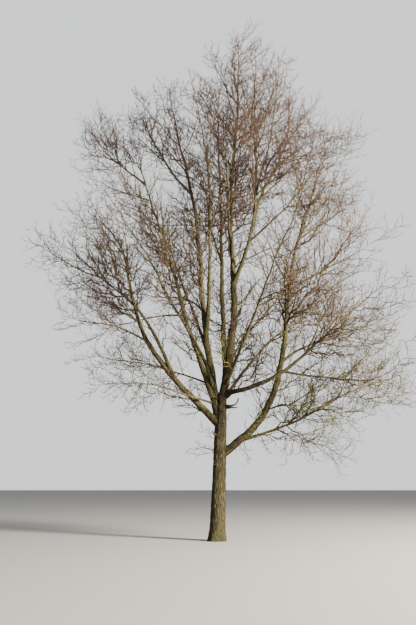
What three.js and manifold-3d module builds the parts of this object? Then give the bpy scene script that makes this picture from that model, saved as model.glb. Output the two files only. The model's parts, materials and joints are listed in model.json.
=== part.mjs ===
// A bare broadleaved tree in winter: trunk, boughs and leafless twig masses.
// Millimetres and degrees. +Z is up, +X is the photograph's right, +Y is away from the camera.
// The trunk is cut off flat at ground level, z = 0, and the origin is the middle of that cut.
import * as THREE from 'three';
import Module from 'manifold-3d';

const wasm = await Module();
wasm.setup();

// Trunk: how far the centreline stands to the right at each height, and the radius at each height.
const TRUNK_LINE = [[0, 0], [1200, 50], [2200, 90], [3000, 120], [4100, 180]];
const TRUNK_RADIUS = [[0, 246], [300, 232], [1300, 214], [2200, 200], [2700, 194], [3300, 184], [4100, 142]];
const TRUNK_RINGS = [0, 70, 160, 300, 520, 900, 1400, 1900, 2400, 2900, 3300, 3700];
const TRUNK_TOP = 4100;
const TRUNK_SIDES = 18;
const FLARE = 50;
const FLARE_HEIGHT = 210;
const FLARE_TOES = 5;
const FLARE_TOE_SHARE = 0.45;
const FLARE_TOE_TURN = 2.2;
// The trunk's top ring stands out past the leader's foot by this much.
const TOP_LEDGE = 2;

// The left stem is fused to the trunk up to this share of its length, a little over the fork.
const FUSED_SHARE = 0.11;
const FUSED_SEGMENTS = 4;
const FUSED_SIDES = 12;
// The low right limb is two solids that meet at its bend, at this share of its length.
const BEND_SHARE = 0.2;

// Clearance between neighbouring solids, and the allowance around a parent where a limb is cut clear of it.
const CLEAR = 0.3;
const CUT_CLEAR = 0.35;
// The trunk's flat sides lie inside its round, so that an allowance round it is widened by this factor.
const TRUNK_WIDEN = 1.02;
// Edges that change a surface by less than this are merged away: finer where solids lie face to face.
const MASS_EDGE = 1;
const BOUGH_EDGE = 0.1;

// A bough is made of straight pieces of at most this length, and a thick one has more sides.
const BOUGH_SEGMENT = 800;
const BOUGH_LEAST_SEGMENTS = 3;
const THICK_BOUGH = 55;
const THICK_SIDES = 8;
const THIN_SIDES = 6;

// Every limb: where it starts (height on the trunk, or share of the parent's length), its heading and how
// far the heading swings, its rise where it leaves, at the knee and at the tip, the knee's share, its
// length, its radius, the share that is a bare bough, and how far its lowest side branches reach.
const COLUMNS = ['parent', 'at', 'heading', 'swing', 'leave', 'climb', 'tip', 'knee', 'length', 'radius',
  'bare', 'reach'];
const LIMBS = {
  leader: ['trunk', TRUNK_TOP, 10, 10, 80, 90, 84, 0.4, 13900, 140, 0.30, 2300],
  left_stem: ['trunk', 2900, 176, -30, 84, 83, 78, 0.3, 13600, 126, 0.29, 2200],
  low_right: ['trunk', 2420, -8, 10, 34, 80, 72, 0.3, 11700, 122, 0.36, 2300],
  low_left: ['trunk', 3300, 184, -10, 42, 75, 36, 0.64, 9200, 112, 0.42, 2000],
  left_outer: ['low_left', 0.22, 190, 8, 66, 38, 28, 0.7, 5900, 66, 0.42, 2000],
  left_flat: ['low_left', 0.38, 192, 10, 30, 6, 4, 0.5, 2800, 34, 0.26, 1400],
  left_mid: ['left_stem', 0.06, 178, 14, 73, 72, 84, 0.66, 9900, 98, 0.37, 2200],
  left_high: ['left_mid', 0.81, 168, -14, 44, 42, 64, 0.4, 3300, 36, 0.22, 1400],
  left_upper: ['left_stem', 0.62, 190, 16, 46, 54, 92, 0.4, 4000, 42, 0.24, 1500],
  left_sag: ['left_mid', 0.33, 172, -8, 6, -8, -4, 0.4, 3000, 30, 0.30, 1200],
  left_thin_up: ['left_stem', 0.12, 166, 14, 28, 14, 12, 0.4, 4300, 34, 0.34, 1400],
  left_thin_low: ['left_stem', 0.08, 200, 8, 14, 10, -14, 0.4, 3900, 34, 0.34, 1400],
  front_stem: ['left_stem', 0.25, -62, -80, 76, 86, 70, 0.3, 8400, 74, 0.30, 2000],
  back_stem: ['leader', 0.05, 96, 0, 70, 83, 85, 0.25, 12800, 96, 0.32, 2200],
  right_upright: ['leader', 0.28, -48, 0, 52, 87, 90, 0.32, 8600, 70, 0.24, 1900],
  right_high: ['right_upright', 0.24, 34, 4, 72, 61, 56, 0.4, 6400, 48, 0.26, 1400],
  right_cross: ['right_upright', 0.16, -24, -10, 30, 42, 40, 0.4, 3900, 40, 0.28, 1500],
  right_inner: ['leader', 0.08, 30, -10, 60, 50, 46, 0.3, 5200, 42, 0.32, 1600],
  front_right: ['leader', 0.014, -28, 12, 6, 42, 34, 0.6, 6200, 78, 0.40, 1800],
  right_sag: ['front_right', 0.33, -14, 8, -16, -6, 34, 0.5, 3500, 34, 0.34, 1400],
  back_right: ['trunk', 4020, 36, -8, 54, 42, 36, 0.3, 7500, 60, 0.34, 2000],
  right_side_low: ['low_right', 0.30, 2, 8, 40, 20, 26, 0.3, 3900, 44, 0.24, 1600],
  right_side_mid: ['low_right', 0.50, -16, 10, 36, 22, 32, 0.3, 3100, 40, 0.22, 1600],
  right_side_high: ['low_right', 0.65, 10, 10, 40, 38, 36, 0.3, 2800, 34, 0.22, 1400],
  low_sweep: ['low_right', 0.06, -12, 12, 14, 28, 14, 0.4, 5300, 48, 0.18, 1800],
  front_low: ['leader', 0.03, -58, -10, 46, 48, 44, 0.3, 6800, 58, 0.34, 2000],
  front_left: ['left_stem', 0.11, -140, 4, 66, 52, 42, 0.3, 7000, 56, 0.34, 1600],
  back_left: ['left_stem', 0.18, 120, -8, 60, 56, 56, 0.3, 7800, 60, 0.34, 1600],
  back_low: ['leader', 0.07, 84, 0, 40, 46, 44, 0.3, 7200, 60, 0.34, 2000],
};

// The longest side branches of the masses, in the same columns as far as the radius.
const ARMS = [
  ['leader', 0.80, 165, -20, 76, 88, 88, 0.3, 2400, 24],
  ['leader', 0.77, 200, 10, 50, 56, 74, 0.4, 2200, 24],
  ['leader', 0.59, 176, 30, 40, 74, 84, 0.3, 2800, 30],
  ['leader', 0.50, 5, -10, 60, 70, 80, 0.4, 2600, 28],
  ['leader', 0.45, -80, 10, 40, 55, 62, 0.3, 3600, 34],
  ['right_upright', 0.33, -20, 6, 74, 78, 85, 0.4, 5200, 36],
  ['right_high', 0.58, 30, 0, 72, 86, 84, 0.3, 3000, 24],
  ['low_right', 0.42, -14, 6, 22, 38, 24, 0.4, 2900, 28],
  ['low_right', 0.74, 160, 0, 64, 82, 84, 0.3, 2600, 24],
  ['low_right', 0.46, 80, -10, 30, 45, 55, 0.3, 3000, 30],
  ['low_right', 0.40, -80, 10, 28, 40, 50, 0.3, 2800, 28],
  ['left_stem', 0.30, 165, 6, 52, 12, 6, 0.4, 2800, 36],
  ['left_stem', 0.53, 176, 0, 4, 0, 24, 0.5, 2200, 20],
  ['left_stem', 0.75, 6, 0, 56, 74, 80, 0.4, 1900, 20],
  ['left_stem', 0.78, 188, 0, 36, 48, 70, 0.4, 2400, 24],
  ['left_stem', 0.45, 100, 10, 42, 55, 60, 0.3, 3200, 30],
  ['left_mid', 0.51, 168, 4, 44, 40, 46, 0.4, 2800, 30],
  ['left_mid', 0.75, 190, 0, 12, 14, 40, 0.5, 2200, 22],
  ['left_mid', 0.46, -110, -10, 38, 50, 60, 0.3, 3000, 30],
  ['left_outer', 0.54, 185, 0, 70, 84, 80, 0.4, 1900, 22],
  ['low_left', 0.46, 192, 0, 26, 34, 36, 0.4, 2600, 28],
  ['back_stem', 0.34, 185, 20, 70, 82, 46, 0.3, 5300, 38],
  ['back_stem', 0.74, 195, 0, 76, 62, 66, 0.4, 2500, 24],
  ['back_stem', 0.45, 75, 10, 40, 55, 60, 0.3, 3400, 32],
  ['leader', 0.31, -30, 20, 50, 10, 46, 0.35, 2400, 26],
  ['low_sweep', 0.22, -55, 10, -14, -36, -10, 0.5, 1500, 22],
  ['low_sweep', 0.30, 40, 0, 34, 40, 8, 0.4, 1800, 22],
  ['low_sweep', 0.46, -50, 0, 6, -24, -20, 0.5, 1700, 20],
  ['right_inner', 0.40, -20, 0, 22, 60, 62, 0.4, 2400, 22],
  ['back_right', 0.42, -24, 0, 12, 44, 60, 0.4, 2600, 24],
  ['front_right', 0.46, -50, 10, 54, 60, 50, 0.4, 2600, 26],
  ['front_low', 0.40, -10, 0, 22, 44, 60, 0.4, 2600, 24],
  ['left_outer', 0.68, 200, 0, 8, 20, 40, 0.4, 2200, 22],
  ['low_left', 0.60, 170, 0, 74, 86, 76, 0.4, 2600, 26],
  ['right_upright', 0.52, -60, 0, 40, 64, 74, 0.4, 2600, 24],
  ['right_upright', 0.31, -10, 0, 40, 42, 46, 0.4, 3400, 32],
  ['right_high', 0.42, 10, 0, 20, 36, 42, 0.4, 2800, 24],
  ['right_cross', 0.40, 12, 0, 10, 22, 34, 0.4, 2400, 22],
  ['low_right', 0.52, 175, 0, 56, 70, 70, 0.4, 2800, 26],
  ['right_side_low', 0.35, -20, 0, 52, 50, 40, 0.4, 2200, 22],
  ['right_side_mid', 0.40, 20, 0, 50, 52, 50, 0.4, 2000, 22],
  ['back_right', 0.60, 20, 0, 8, 20, 36, 0.4, 2200, 22],
  ['leader', 0.62, -30, 0, 56, 70, 78, 0.4, 3000, 26],
  ['leader', 0.72, -140, 0, 56, 70, 78, 0.4, 2400, 24],
  ['leader', 0.66, 110, 0, 50, 66, 74, 0.4, 2600, 24],
  ['low_right', 0.62, -60, 0, 50, 64, 72, 0.4, 2800, 26],
  ['low_right', 0.68, 24, 0, 40, 54, 62, 0.4, 2600, 24],
  ['right_high', 0.34, 60, 0, 50, 64, 72, 0.4, 2800, 26],
  ['right_high', 0.72, 60, 0, 50, 66, 76, 0.4, 2000, 22],
  ['right_cross', 0.56, -60, 0, 54, 62, 66, 0.4, 1800, 22],
  ['front_right', 0.62, 14, 0, 6, 14, 30, 0.4, 2200, 24],
  ['low_sweep', 0.60, 20, 0, 48, 52, 40, 0.4, 1900, 20],
  ['right_sag', 0.48, 22, 0, 34, 42, 48, 0.4, 1800, 20],
  ['leader', 0.70, -8, 0, 46, 56, 70, 0.4, 2700, 24],
  ['right_upright', 0.62, 20, 0, 50, 62, 74, 0.4, 2600, 24],
  ['back_stem', 0.60, 0, 0, 44, 58, 74, 0.4, 2800, 26],
  ['right_side_high', 0.45, -20, 0, 60, 66, 60, 0.4, 1800, 20],
  ['leader', 0.35, -100, 10, 44, 52, 60, 0.3, 4200, 36],
  ['low_right', 0.39, -100, 14, 40, 46, 56, 0.3, 3600, 32],
  ['low_right', 0.44, 100, -14, 36, 46, 56, 0.3, 3600, 32],
  ['low_left', 0.45, -100, -14, 36, 44, 56, 0.3, 3400, 30],
  ['low_left', 0.50, 96, 14, 36, 44, 56, 0.3, 3200, 30],
  ['front_stem', 0.40, -60, 0, 40, 50, 62, 0.3, 3200, 28],
  ['left_high', 0.36, 150, 0, 56, 66, 74, 0.4, 1800, 22],
  ['left_high', 0.50, 202, 0, 10, 20, 36, 0.4, 1200, 20],
  ['left_mid', 0.62, 190, 0, 40, 52, 62, 0.4, 2800, 26],
  ['left_mid', 0.86, 150, 0, 56, 70, 80, 0.4, 1900, 20],
  ['left_upper', 0.36, 176, 0, 40, 48, 62, 0.4, 2400, 22],
  ['left_upper', 0.52, 150, 0, 64, 80, 84, 0.4, 2000, 20],
  ['low_left', 0.72, 196, 0, 44, 54, 62, 0.4, 2200, 22],
  ['left_stem', 0.69, 184, 0, 46, 58, 72, 0.4, 2600, 24],
  ['leader', 0.67, 172, 0, 52, 68, 80, 0.4, 2800, 24],
  ['back_stem', 0.66, 168, 0, 46, 60, 76, 0.4, 2600, 24],
  ['back_stem', 0.82, 200, 0, 44, 60, 72, 0.4, 1800, 20],
  ['low_sweep', 0.40, 4, 0, 60, 56, 40, 0.4, 2200, 20],
  ['right_sag', 0.40, -34, 0, -20, -6, 10, 0.4, 2000, 20],
  ['right_side_low', 0.50, 14, 0, -14, -4, 14, 0.4, 1800, 20],
  ['front_right', 0.54, -8, 0, -16, -2, 16, 0.4, 2400, 24],
  ['left_outer', 0.62, 176, 0, 52, 62, 70, 0.4, 2000, 20],
  ['right_side_high', 0.40, 30, 0, 64, 72, 76, 0.4, 1800, 20],
];
const ARM_REACH = 1300;
const ARM_FIRST_SEED = 51;

// The curve of a limb is stepped off this often, and wanders a little to each side once it is free.
const STEPS = 40;
const WANDER_FREE = 4;
const WANDER_RISE = 4;
const DEPTH_GAIN = 0.34;
const DEPTH_FADE = 2500;
const WANDER_RISE_WAVES = 1.7;
const WANDER_HEADING = 6;
const WANDER_HEADING_WAVES = 2.3;
// Radius along a limb: it tapers by a power to the tip, and swells where it leaves its parent.
const TIP_RADIUS = 9;
const TAPER = 1.1;
const SWELL = 0.3;
const SWELL_LENGTH = 260;

// A mass's stem is made of straight pieces of about this length.
const STEM_SEGMENT = 1200;
const STEM_LEAST_SEGMENTS = 3;
const STEM_SIDES = 4;

// Side branches are counted off along a mass; of the full count the strong ones, every third, are solid,
// and on the arms every second one of those.
const SIDE_PITCH = 180;
const STRONG_EVERY = 3;
const ARM_STRONG_EVERY = 7;
const STRONG_REACH = 1.25;
// The first and the span of the side branches' places, as shares of the mass's stem.
const SIDE_FIRST = 0.03;
const SIDE_SPAN = 0.95;
const SIDE_TURN = 137.5;
const SIDE_TURN_VARY = 40;
const SIDE_SPREAD = 47;
const SIDE_SPREAD_VARY = 16;
const SIDE_BEND = 10;
const SIDE_LIFT = 0.3;
const SIDE_SHORTEN = 0.6;
// The length varies by chance, and a branch on the outside of the tree is longer than one to its middle.
const SIDE_LENGTH_FROM = 0.7;
const SIDE_LENGTH_VARY = 0.6;
const SIDE_OUTWARD_FROM = 0.8;
const SIDE_OUTWARD_VARY = 0.42;
const SIDE_LEAST = 450;
// A side branch that would leave its space is tried again at the shorter shares, then left out.
const SIDE_SHARES = [1, 0.7, 0.45];
const SIDE_KNEE = 0.45;
// Its radius at the root is a share of the stem's there, and no more than its length asks.
const SIDE_RADIUS_SHARE = 0.6;
const SIDE_RADIUS_LEAST = 8;
const SIDE_RADIUS_MOST = 34;
const SIDE_SLENDER_FROM = 6;
const SIDE_SLENDER_SHARE = 0.0105;

// Twigs on the side branches of the limbs themselves; those of the arms have none.
const TWIG_COUNT = 3;
const TWIG_COUNT_SHORT = 1;
const TWIG_SHORT_UNDER = 1500;
const TWIG_FIRST = 0.3;
const TWIG_PITCH = 0.22;
const TWIG_SPREAD = 44;
const TWIG_LIFT = 0.12;
const TWIG_TURN = 180;
const TWIG_TURN_VARY = 70;
const TWIG_SHARE = 0.5;
const TWIG_SHORTEN = 0.4;
const TWIG_LENGTH_FROM = 0.8;
const TWIG_LENGTH_VARY = 0.4;
const TWIG_RADIUS_SHARE = 0.5;
const TWIG_THIN = 0.6;
// How much a branch has tapered where its last straight piece begins, were it to begin at the tip.
const SPIKE_TAPER = 0.75;
const SPIKE_SIDES = 3;

// A twig stays out of the space of other limbs by this much, tested at points this far apart.
const SPACE_MARGIN = 28;
const SPACE_STEP = 90;

const TRUNK_COLOUR = 0x7b7050;
const BOUGH_COLOUR = 0x6f6546;
const TWIG_COLOUR = 0x6b5750;
const BARK_ROUGHNESS = 0.9;

const rad = THREE.MathUtils.degToRad;
const UP = new THREE.Vector3(0, 0, 1);

// A fixed number from 0 to 1 for each seed and count.
function chance(seed, n) {
  const v = Math.sin(seed * 12.9898 + n * 78.233) * 43758.5453;
  return v - Math.floor(v);
}

function smooth(t) {
  const u = THREE.MathUtils.clamp(t, 0, 1);
  return u * u * (3 - 2 * u);
}

// The value at x in a list of [x, value] rows.
function between(rows, x) {
  for (let i = 1; i < rows.length; i++) {
    const [x0, y0] = rows[i - 1];
    const [x1, y1] = rows[i];
    if (x <= x1) return y0 + ((y1 - y0) * (x - x0)) / (x1 - x0);
  }
  return rows[rows.length - 1][1];
}

function trunkPoint(height) {
  return new THREE.Vector3(between(TRUNK_LINE, height), 0, height);
}

function headingVector(heading, rise) {
  const flat = Math.cos(rad(rise));
  return new THREE.Vector3(Math.cos(rad(heading)) * flat, Math.sin(rad(heading)) * flat, Math.sin(rad(rise)));
}

// Limbs lean a little more to the front or back near the tree's middle, so that the crown is deep enough.
function deepening(y) {
  return 1 + DEPTH_GAIN / Math.cosh(y / DEPTH_FADE) ** 2;
}

// A limb's named values, its curve, the direction at each step of the curve, and the box round it.
// Its owner is the limb whose mass it belongs to: the limb itself, or the parent of an arm.
function growLimb(name, owner, seed, row, limbs) {
  const limb = { name, owner, seed };
  COLUMNS.forEach((column, i) => { limb[column] = row[i]; });
  const parent = limbs[limb.parent];
  const start = parent ? centreAt(parent, limb.at) : trunkPoint(limb.at);
  limb.points = [start];
  limb.ways = [];
  for (let i = 0; i < STEPS; i++) {
    const s = (i + 0.5) / STEPS;
    const early = limb.leave + (limb.climb - limb.leave) * smooth(s / limb.knee);
    const late = limb.climb + (limb.tip - limb.climb) * smooth((s - limb.knee) / (1 - limb.knee));
    const free = Math.min(1, s * WANDER_FREE);
    const rise = (s < limb.knee ? early : late)
      + WANDER_RISE * free * Math.sin(2 * Math.PI * (WANDER_RISE_WAVES * s + chance(seed, 1)));
    const heading = limb.heading + limb.swing * s
      + WANDER_HEADING * free * Math.sin(2 * Math.PI * (WANDER_HEADING_WAVES * s + chance(seed, 2)));
    const way = headingVector(heading, rise);
    way.y *= deepening(limb.points[i].y);
    limb.ways.push(way);
    limb.points.push(limb.points[i].clone().addScaledVector(way, limb.length / STEPS));
  }
  limb.ways.push(limb.ways[STEPS - 1]);
  limb.box = new THREE.Box3().setFromPoints(limb.points);
  return limb;
}

// Every limb, then the arms, which belong to the mass of the limb that they leave.
function growLimbs() {
  const limbs = {};
  Object.entries(LIMBS).forEach(([name, row], i) => {
    limbs[name] = growLimb(name, name, i + 1, row, limbs);
  });
  ARMS.forEach((row, i) => {
    const name = `arm_${i + 1}`;
    limbs[name] = growLimb(name, row[0], ARM_FIRST_SEED + i, [...row, 0, ARM_REACH], limbs);
  });
  return limbs;
}

function isArm(limb) {
  return limb.owner !== limb.name;
}

function pointAt(limb, s) {
  const x = THREE.MathUtils.clamp(s, 0, 1) * STEPS;
  const i = Math.min(STEPS - 1, Math.floor(x));
  return limb.points[i].clone().lerp(limb.points[i + 1], x - i);
}

function wayAt(limb, s) {
  const x = THREE.MathUtils.clamp(s, 0, 1) * STEPS;
  const i = Math.min(STEPS - 1, Math.floor(x));
  return limb.ways[i].clone().lerp(limb.ways[i + 1], x - i).normalize();
}

function stemSegments(limb) {
  return Math.max(STEM_LEAST_SEGMENTS, Math.round(((1 - limb.bare) * limb.length) / STEM_SEGMENT));
}

// The point at share s on the straight pieces that a mass's stem is made of.
function stemPoint(limb, s) {
  const segments = stemSegments(limb);
  const x = ((s - limb.bare) / (1 - limb.bare)) * segments;
  const i = Math.min(segments - 1, Math.floor(x));
  const share = (n) => limb.bare + ((1 - limb.bare) * n) / segments;
  return pointAt(limb, share(i)).lerp(pointAt(limb, share(i + 1)), x - i);
}

// The middle of a limb as it is built: its curve along the bough, the straight pieces in the mass.
function centreAt(limb, s) {
  return s > limb.bare ? stemPoint(limb, s) : pointAt(limb, s);
}

// The leader carries on the trunk without a swelling.
function radiusAt(limb, s) {
  const swell = limb.name === 'leader' ? 0 : SWELL;
  const body = TIP_RADIUS + (limb.radius - TIP_RADIUS) * (1 - s) ** TAPER;
  return body * (1 + swell * Math.exp((-s * limb.length) / SWELL_LENGTH));
}

// Two directions square to a given one.
function across(way) {
  const flat = Math.abs(way.z) > 0.95 ? new THREE.Vector3(1, 0, 0) : UP;
  const a = flat.clone().cross(way).normalize();
  return [a, way.clone().cross(a)];
}

// A closed skin through rings of points; a last ring of one point is a tip.
function skin(rings) {
  const points = rings.flat();
  const index = [];
  const sides = rings[0].length;
  const last = rings.length - 1;
  const pointed = rings[last].length === 1;
  for (let r = 0; r < last; r++) {
    for (let k = 0; k < sides; k++) {
      const a = r * sides + k;
      const b = r * sides + ((k + 1) % sides);
      if (r === last - 1 && pointed) {
        index.push(a, b, last * sides);
      } else {
        index.push(a, b, b + sides, a, b + sides, a + sides);
      }
    }
  }
  for (let k = 1; k < sides - 1; k++) {
    index.push(0, k + 1, k);
    if (!pointed) index.push(last * sides, last * sides + k, last * sides + k + 1);
  }
  const geometry = new THREE.BufferGeometry();
  geometry.setAttribute('position', new THREE.Float32BufferAttribute(points.flatMap((p) => p.toArray()), 3));
  geometry.setIndex(index);
  return geometry;
}

function solidOf(geometry) {
  return new wasm.Manifold(new wasm.Mesh({
    numProp: 3,
    vertProperties: new Float32Array(geometry.attributes.position.array),
    triVerts: new Uint32Array(geometry.index.array),
  }));
}

// A ring of points round a centre, square to a direction; the frame is carried on from ring to ring.
function ring(centre, way, frame, radius, sides) {
  const a = frame.clone().addScaledVector(way, -frame.dot(way)).normalize();
  const b = way.clone().cross(a);
  const points = [];
  for (let k = 0; k < sides; k++) {
    const t = (2 * Math.PI * k) / sides;
    points.push(centre.clone().addScaledVector(a, radius * Math.cos(t)).addScaledVector(b, radius * Math.sin(t)));
  }
  frame.copy(a);
  return points;
}

// A limb's solid from one share of its length to another, set in by a gap and swollen by an allowance.
function limbSolid(limb, from, to, segments, sides, { gap = 0, allowance = 0, pointed = false } = {}) {
  const frame = across(wayAt(limb, from))[0];
  const grow = allowance / Math.cos(Math.PI / sides);
  const rings = [];
  for (let i = 0; i <= segments; i++) {
    const s = from + ((to - from) * i) / segments;
    const centre = pointAt(limb, s);
    const way = wayAt(limb, s);
    if (i === 0) centre.addScaledVector(way, gap - allowance);
    if (i === segments) centre.addScaledVector(way, allowance);
    if (i === segments && pointed) {
      rings.push([centre]);
    } else {
      rings.push(ring(centre, way, frame, radiusAt(limb, s) + grow, sides));
    }
  }
  return solidOf(skin(rings));
}

// The trunk with its root flare; the top ring faces along the leader, so the two meet face to face.
function trunkSolid(leader, leftStem, allowance = 0) {
  const rings = TRUNK_RINGS.map((height) => {
    const centre = trunkPoint(height);
    if (height === 0) centre.z = -allowance;
    const radius = between(TRUNK_RADIUS, height) + allowance * TRUNK_WIDEN;
    const flare = FLARE * Math.exp(-height / FLARE_HEIGHT);
    const points = [];
    for (let k = 0; k < TRUNK_SIDES; k++) {
      const t = (2 * Math.PI * k) / TRUNK_SIDES;
      const toe = 1 + FLARE_TOE_SHARE * Math.cos(FLARE_TOES * t - FLARE_TOE_TURN);
      const r = radius + flare * toe;
      points.push(centre.clone().add(new THREE.Vector3(r * Math.cos(t), r * Math.sin(t), 0)));
    }
    return points;
  });
  const way = wayAt(leader, 0);
  const top = trunkPoint(TRUNK_TOP).addScaledVector(way, allowance);
  const topRadius = leader.radius + TOP_LEDGE + allowance * TRUNK_WIDEN;
  rings.push(ring(top, way, new THREE.Vector3(1, 0, 0), topRadius, TRUNK_SIDES));
  const stem = limbSolid(leftStem, 0, FUSED_SHARE, FUSED_SEGMENTS, FUSED_SIDES, { allowance });
  return solidOf(skin(rings)).add(stem);
}

// Where each bough solid of a limb begins and ends, as shares of the limb's length.
function boughSpans(limb) {
  if (limb.name === 'left_stem') return [['left_stem', FUSED_SHARE, limb.bare]];
  if (limb.name === 'low_right') {
    return [['low_right_foot', 0, BEND_SHARE], ['low_right', BEND_SHARE, limb.bare]];
  }
  return [[limb.name, 0, limb.bare]];
}

function boughSolid(limb, from, to, options) {
  const segments = Math.max(BOUGH_LEAST_SEGMENTS, Math.ceil(((to - from) * limb.length) / BOUGH_SEGMENT));
  const sides = limb.radius > THICK_BOUGH ? THICK_SIDES : THIN_SIDES;
  return limbSolid(limb, from, to, segments, sides, options);
}

// The stem of a mass, or of an arm, which is all mass and has three sides as the twigs have.
function massStem(limb, options) {
  const sides = isArm(limb) ? SPIKE_SIDES : STEM_SIDES;
  return limbSolid(limb, limb.bare, 1, stemSegments(limb), sides, { ...options, pointed: true });
}

function boxesMeet(a, b) {
  const p = a.boundingBox();
  const q = b.boundingBox();
  return [0, 1, 2].every((i) => p.min[i] <= q.max[i] && q.min[i] <= p.max[i]);
}

function largest(solid) {
  return solid.decompose().sort((a, b) => b.volume() - a.volume())[0];
}

// All boughs in order, each one cut clear of the trunk and of the limbs before it.
function buildBoughs(limbs, trunkRoom) {
  const rooms = [trunkRoom];
  const boughs = {};
  for (const limb of Object.values(limbs)) {
    if (isArm(limb)) continue;
    const own = [];
    for (const [name, from, to] of boughSpans(limb)) {
      const face = from > 0 || limb.at === TRUNK_TOP;
      let solid = boughSolid(limb, from, to, { gap: face ? CLEAR : 0 });
      for (const room of rooms) {
        if (boxesMeet(solid, room)) solid = solid.subtract(room);
      }
      boughs[name] = largest(solid).asOriginal().simplify(BOUGH_EDGE);
      own.push(boughSolid(limb, from, to, { allowance: CUT_CLEAR }));
    }
    rooms.push(...own, massStem(limb, { allowance: CUT_CLEAR }));
  }
  return boughs;
}

function gapToSegment(p, a, b) {
  const ab = b.clone().sub(a);
  const t = THREE.MathUtils.clamp(p.clone().sub(a).dot(ab) / ab.lengthSq(), 0, 1);
  return p.distanceTo(a.clone().addScaledVector(ab, t));
}

function gapToLimb(p, limb) {
  let least = Infinity;
  for (let i = 0; i < STEPS; i++) least = Math.min(least, gapToSegment(p, limb.points[i], limb.points[i + 1]));
  return least;
}

// True where a point is nearer to the limbs of its own mass than to any other limb, by the margin.
function isInItsSpace(p, mates, others) {
  const own = Math.min(...mates.map((mate) => gapToLimb(p, mate)));
  return others.every((other) => {
    const needed = own + SPACE_MARGIN + other.radius;
    return other.box.distanceToPoint(p) >= needed || gapToLimb(p, other) >= needed;
  });
}

// True where every tested point of a twig is in its space.
function keepsToItsSpace(points, mates, others) {
  for (let i = 1; i < points.length; i++) {
    const steps = Math.ceil(points[i].distanceTo(points[i - 1]) / SPACE_STEP);
    for (let j = 1; j <= steps; j++) {
      const p = points[i - 1].clone().lerp(points[i], j / steps);
      if (!isInItsSpace(p, mates, others)) return false;
    }
  }
  return true;
}

// A direction spread from a limb's own by an angle, turned round it, and bent up or down.
function offshoot(way, turn, spread, lift) {
  const [a, b] = across(way);
  return way.clone().multiplyScalar(Math.cos(rad(spread)))
    .addScaledVector(a, Math.sin(rad(spread)) * Math.cos(rad(turn)))
    .addScaledVector(b, Math.sin(rad(spread)) * Math.sin(rad(turn)))
    .addScaledVector(UP, lift)
    .normalize();
}

// The side branch with count k at a share of its full length: its points, and its radius at the root.
function sideBranch(limb, k, count, share) {
  const u = (k + 0.5) / count;
  const s = limb.bare + (1 - limb.bare) * (SIDE_FIRST + SIDE_SPAN * u);
  const seed = limb.seed * 100 + k;
  const turn = SIDE_TURN * k + SIDE_TURN_VARY * (chance(seed, 3) - 0.5);
  const spread = SIDE_SPREAD + SIDE_SPREAD_VARY * (chance(seed, 4) - 0.5);
  const way = offshoot(wayAt(limb, s), turn, spread, 0);
  const onward = offshoot(way, 360 * chance(seed, 6), SIDE_BEND, SIDE_LIFT);
  const root = stemPoint(limb, s);
  const out = root.clone().sub(trunkPoint(TRUNK_TOP)).setZ(0).normalize();
  const outward = SIDE_OUTWARD_FROM + SIDE_OUTWARD_VARY * way.dot(out);
  const full = limb.reach * STRONG_REACH * (1 - SIDE_SHORTEN * u)
    * (SIDE_LENGTH_FROM + SIDE_LENGTH_VARY * chance(seed, 5)) * outward;
  const length = share * Math.max(SIDE_LEAST, full);
  const middle = root.clone().addScaledVector(way, length * SIDE_KNEE);
  const end = middle.clone().addScaledVector(onward, length * (1 - SIDE_KNEE));
  const slender = SIDE_SLENDER_FROM + SIDE_SLENDER_SHARE * length;
  const radius = Math.min(radiusAt(limb, s) * SIDE_RADIUS_SHARE, slender);
  return {
    seed,
    length,
    points: [root, middle, end],
    radius: THREE.MathUtils.clamp(radius, SIDE_RADIUS_LEAST, SIDE_RADIUS_MOST),
  };
}

// The twigs of one side branch, each a straight spike rooted on the branch's middle line.
function sideTwigs(side) {
  const twigs = [];
  const [root, middle, end] = side.points;
  const count = side.length < TWIG_SHORT_UNDER ? TWIG_COUNT_SHORT : TWIG_COUNT;
  for (let j = 0; j < count; j++) {
    const q = TWIG_FIRST + TWIG_PITCH * j;
    const lower = q < SIDE_KNEE;
    const [a, b] = lower ? [root, middle] : [middle, end];
    const t = lower ? q / SIDE_KNEE : (q - SIDE_KNEE) / (1 - SIDE_KNEE);
    const from = a.clone().lerp(b, t);
    const way = b.clone().sub(a).normalize();
    const turn = TWIG_TURN * j + TWIG_TURN_VARY * (chance(side.seed, 10 + j) - 0.5);
    const onward = offshoot(way, turn, TWIG_SPREAD, TWIG_LIFT);
    const length = side.length * TWIG_SHARE * (1 - TWIG_SHORTEN * q)
      * (TWIG_LENGTH_FROM + TWIG_LENGTH_VARY * chance(side.seed, 20 + j));
    const radius = side.radius * (1 - TWIG_THIN * q) * TWIG_RADIUS_SHARE;
    twigs.push({ points: [from, from.clone().addScaledVector(onward, length)], radius });
  }
  return twigs;
}

// A three-sided branch through its points, from a root radius to a point at the tip.
function spike(points, radius) {
  const rings = [];
  const last = points.length - 1;
  const frame = across(points[1].clone().sub(points[0]).normalize())[0];
  for (let i = 0; i < last; i++) {
    const way = points[i + 1].clone().sub(points[Math.max(0, i - 1)]).normalize();
    rings.push(ring(points[i], way, frame, radius * (1 - (SPIKE_TAPER * i) / last), SPIKE_SIDES));
  }
  rings.push([points[last]]);
  return solidOf(skin(rings));
}

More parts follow.
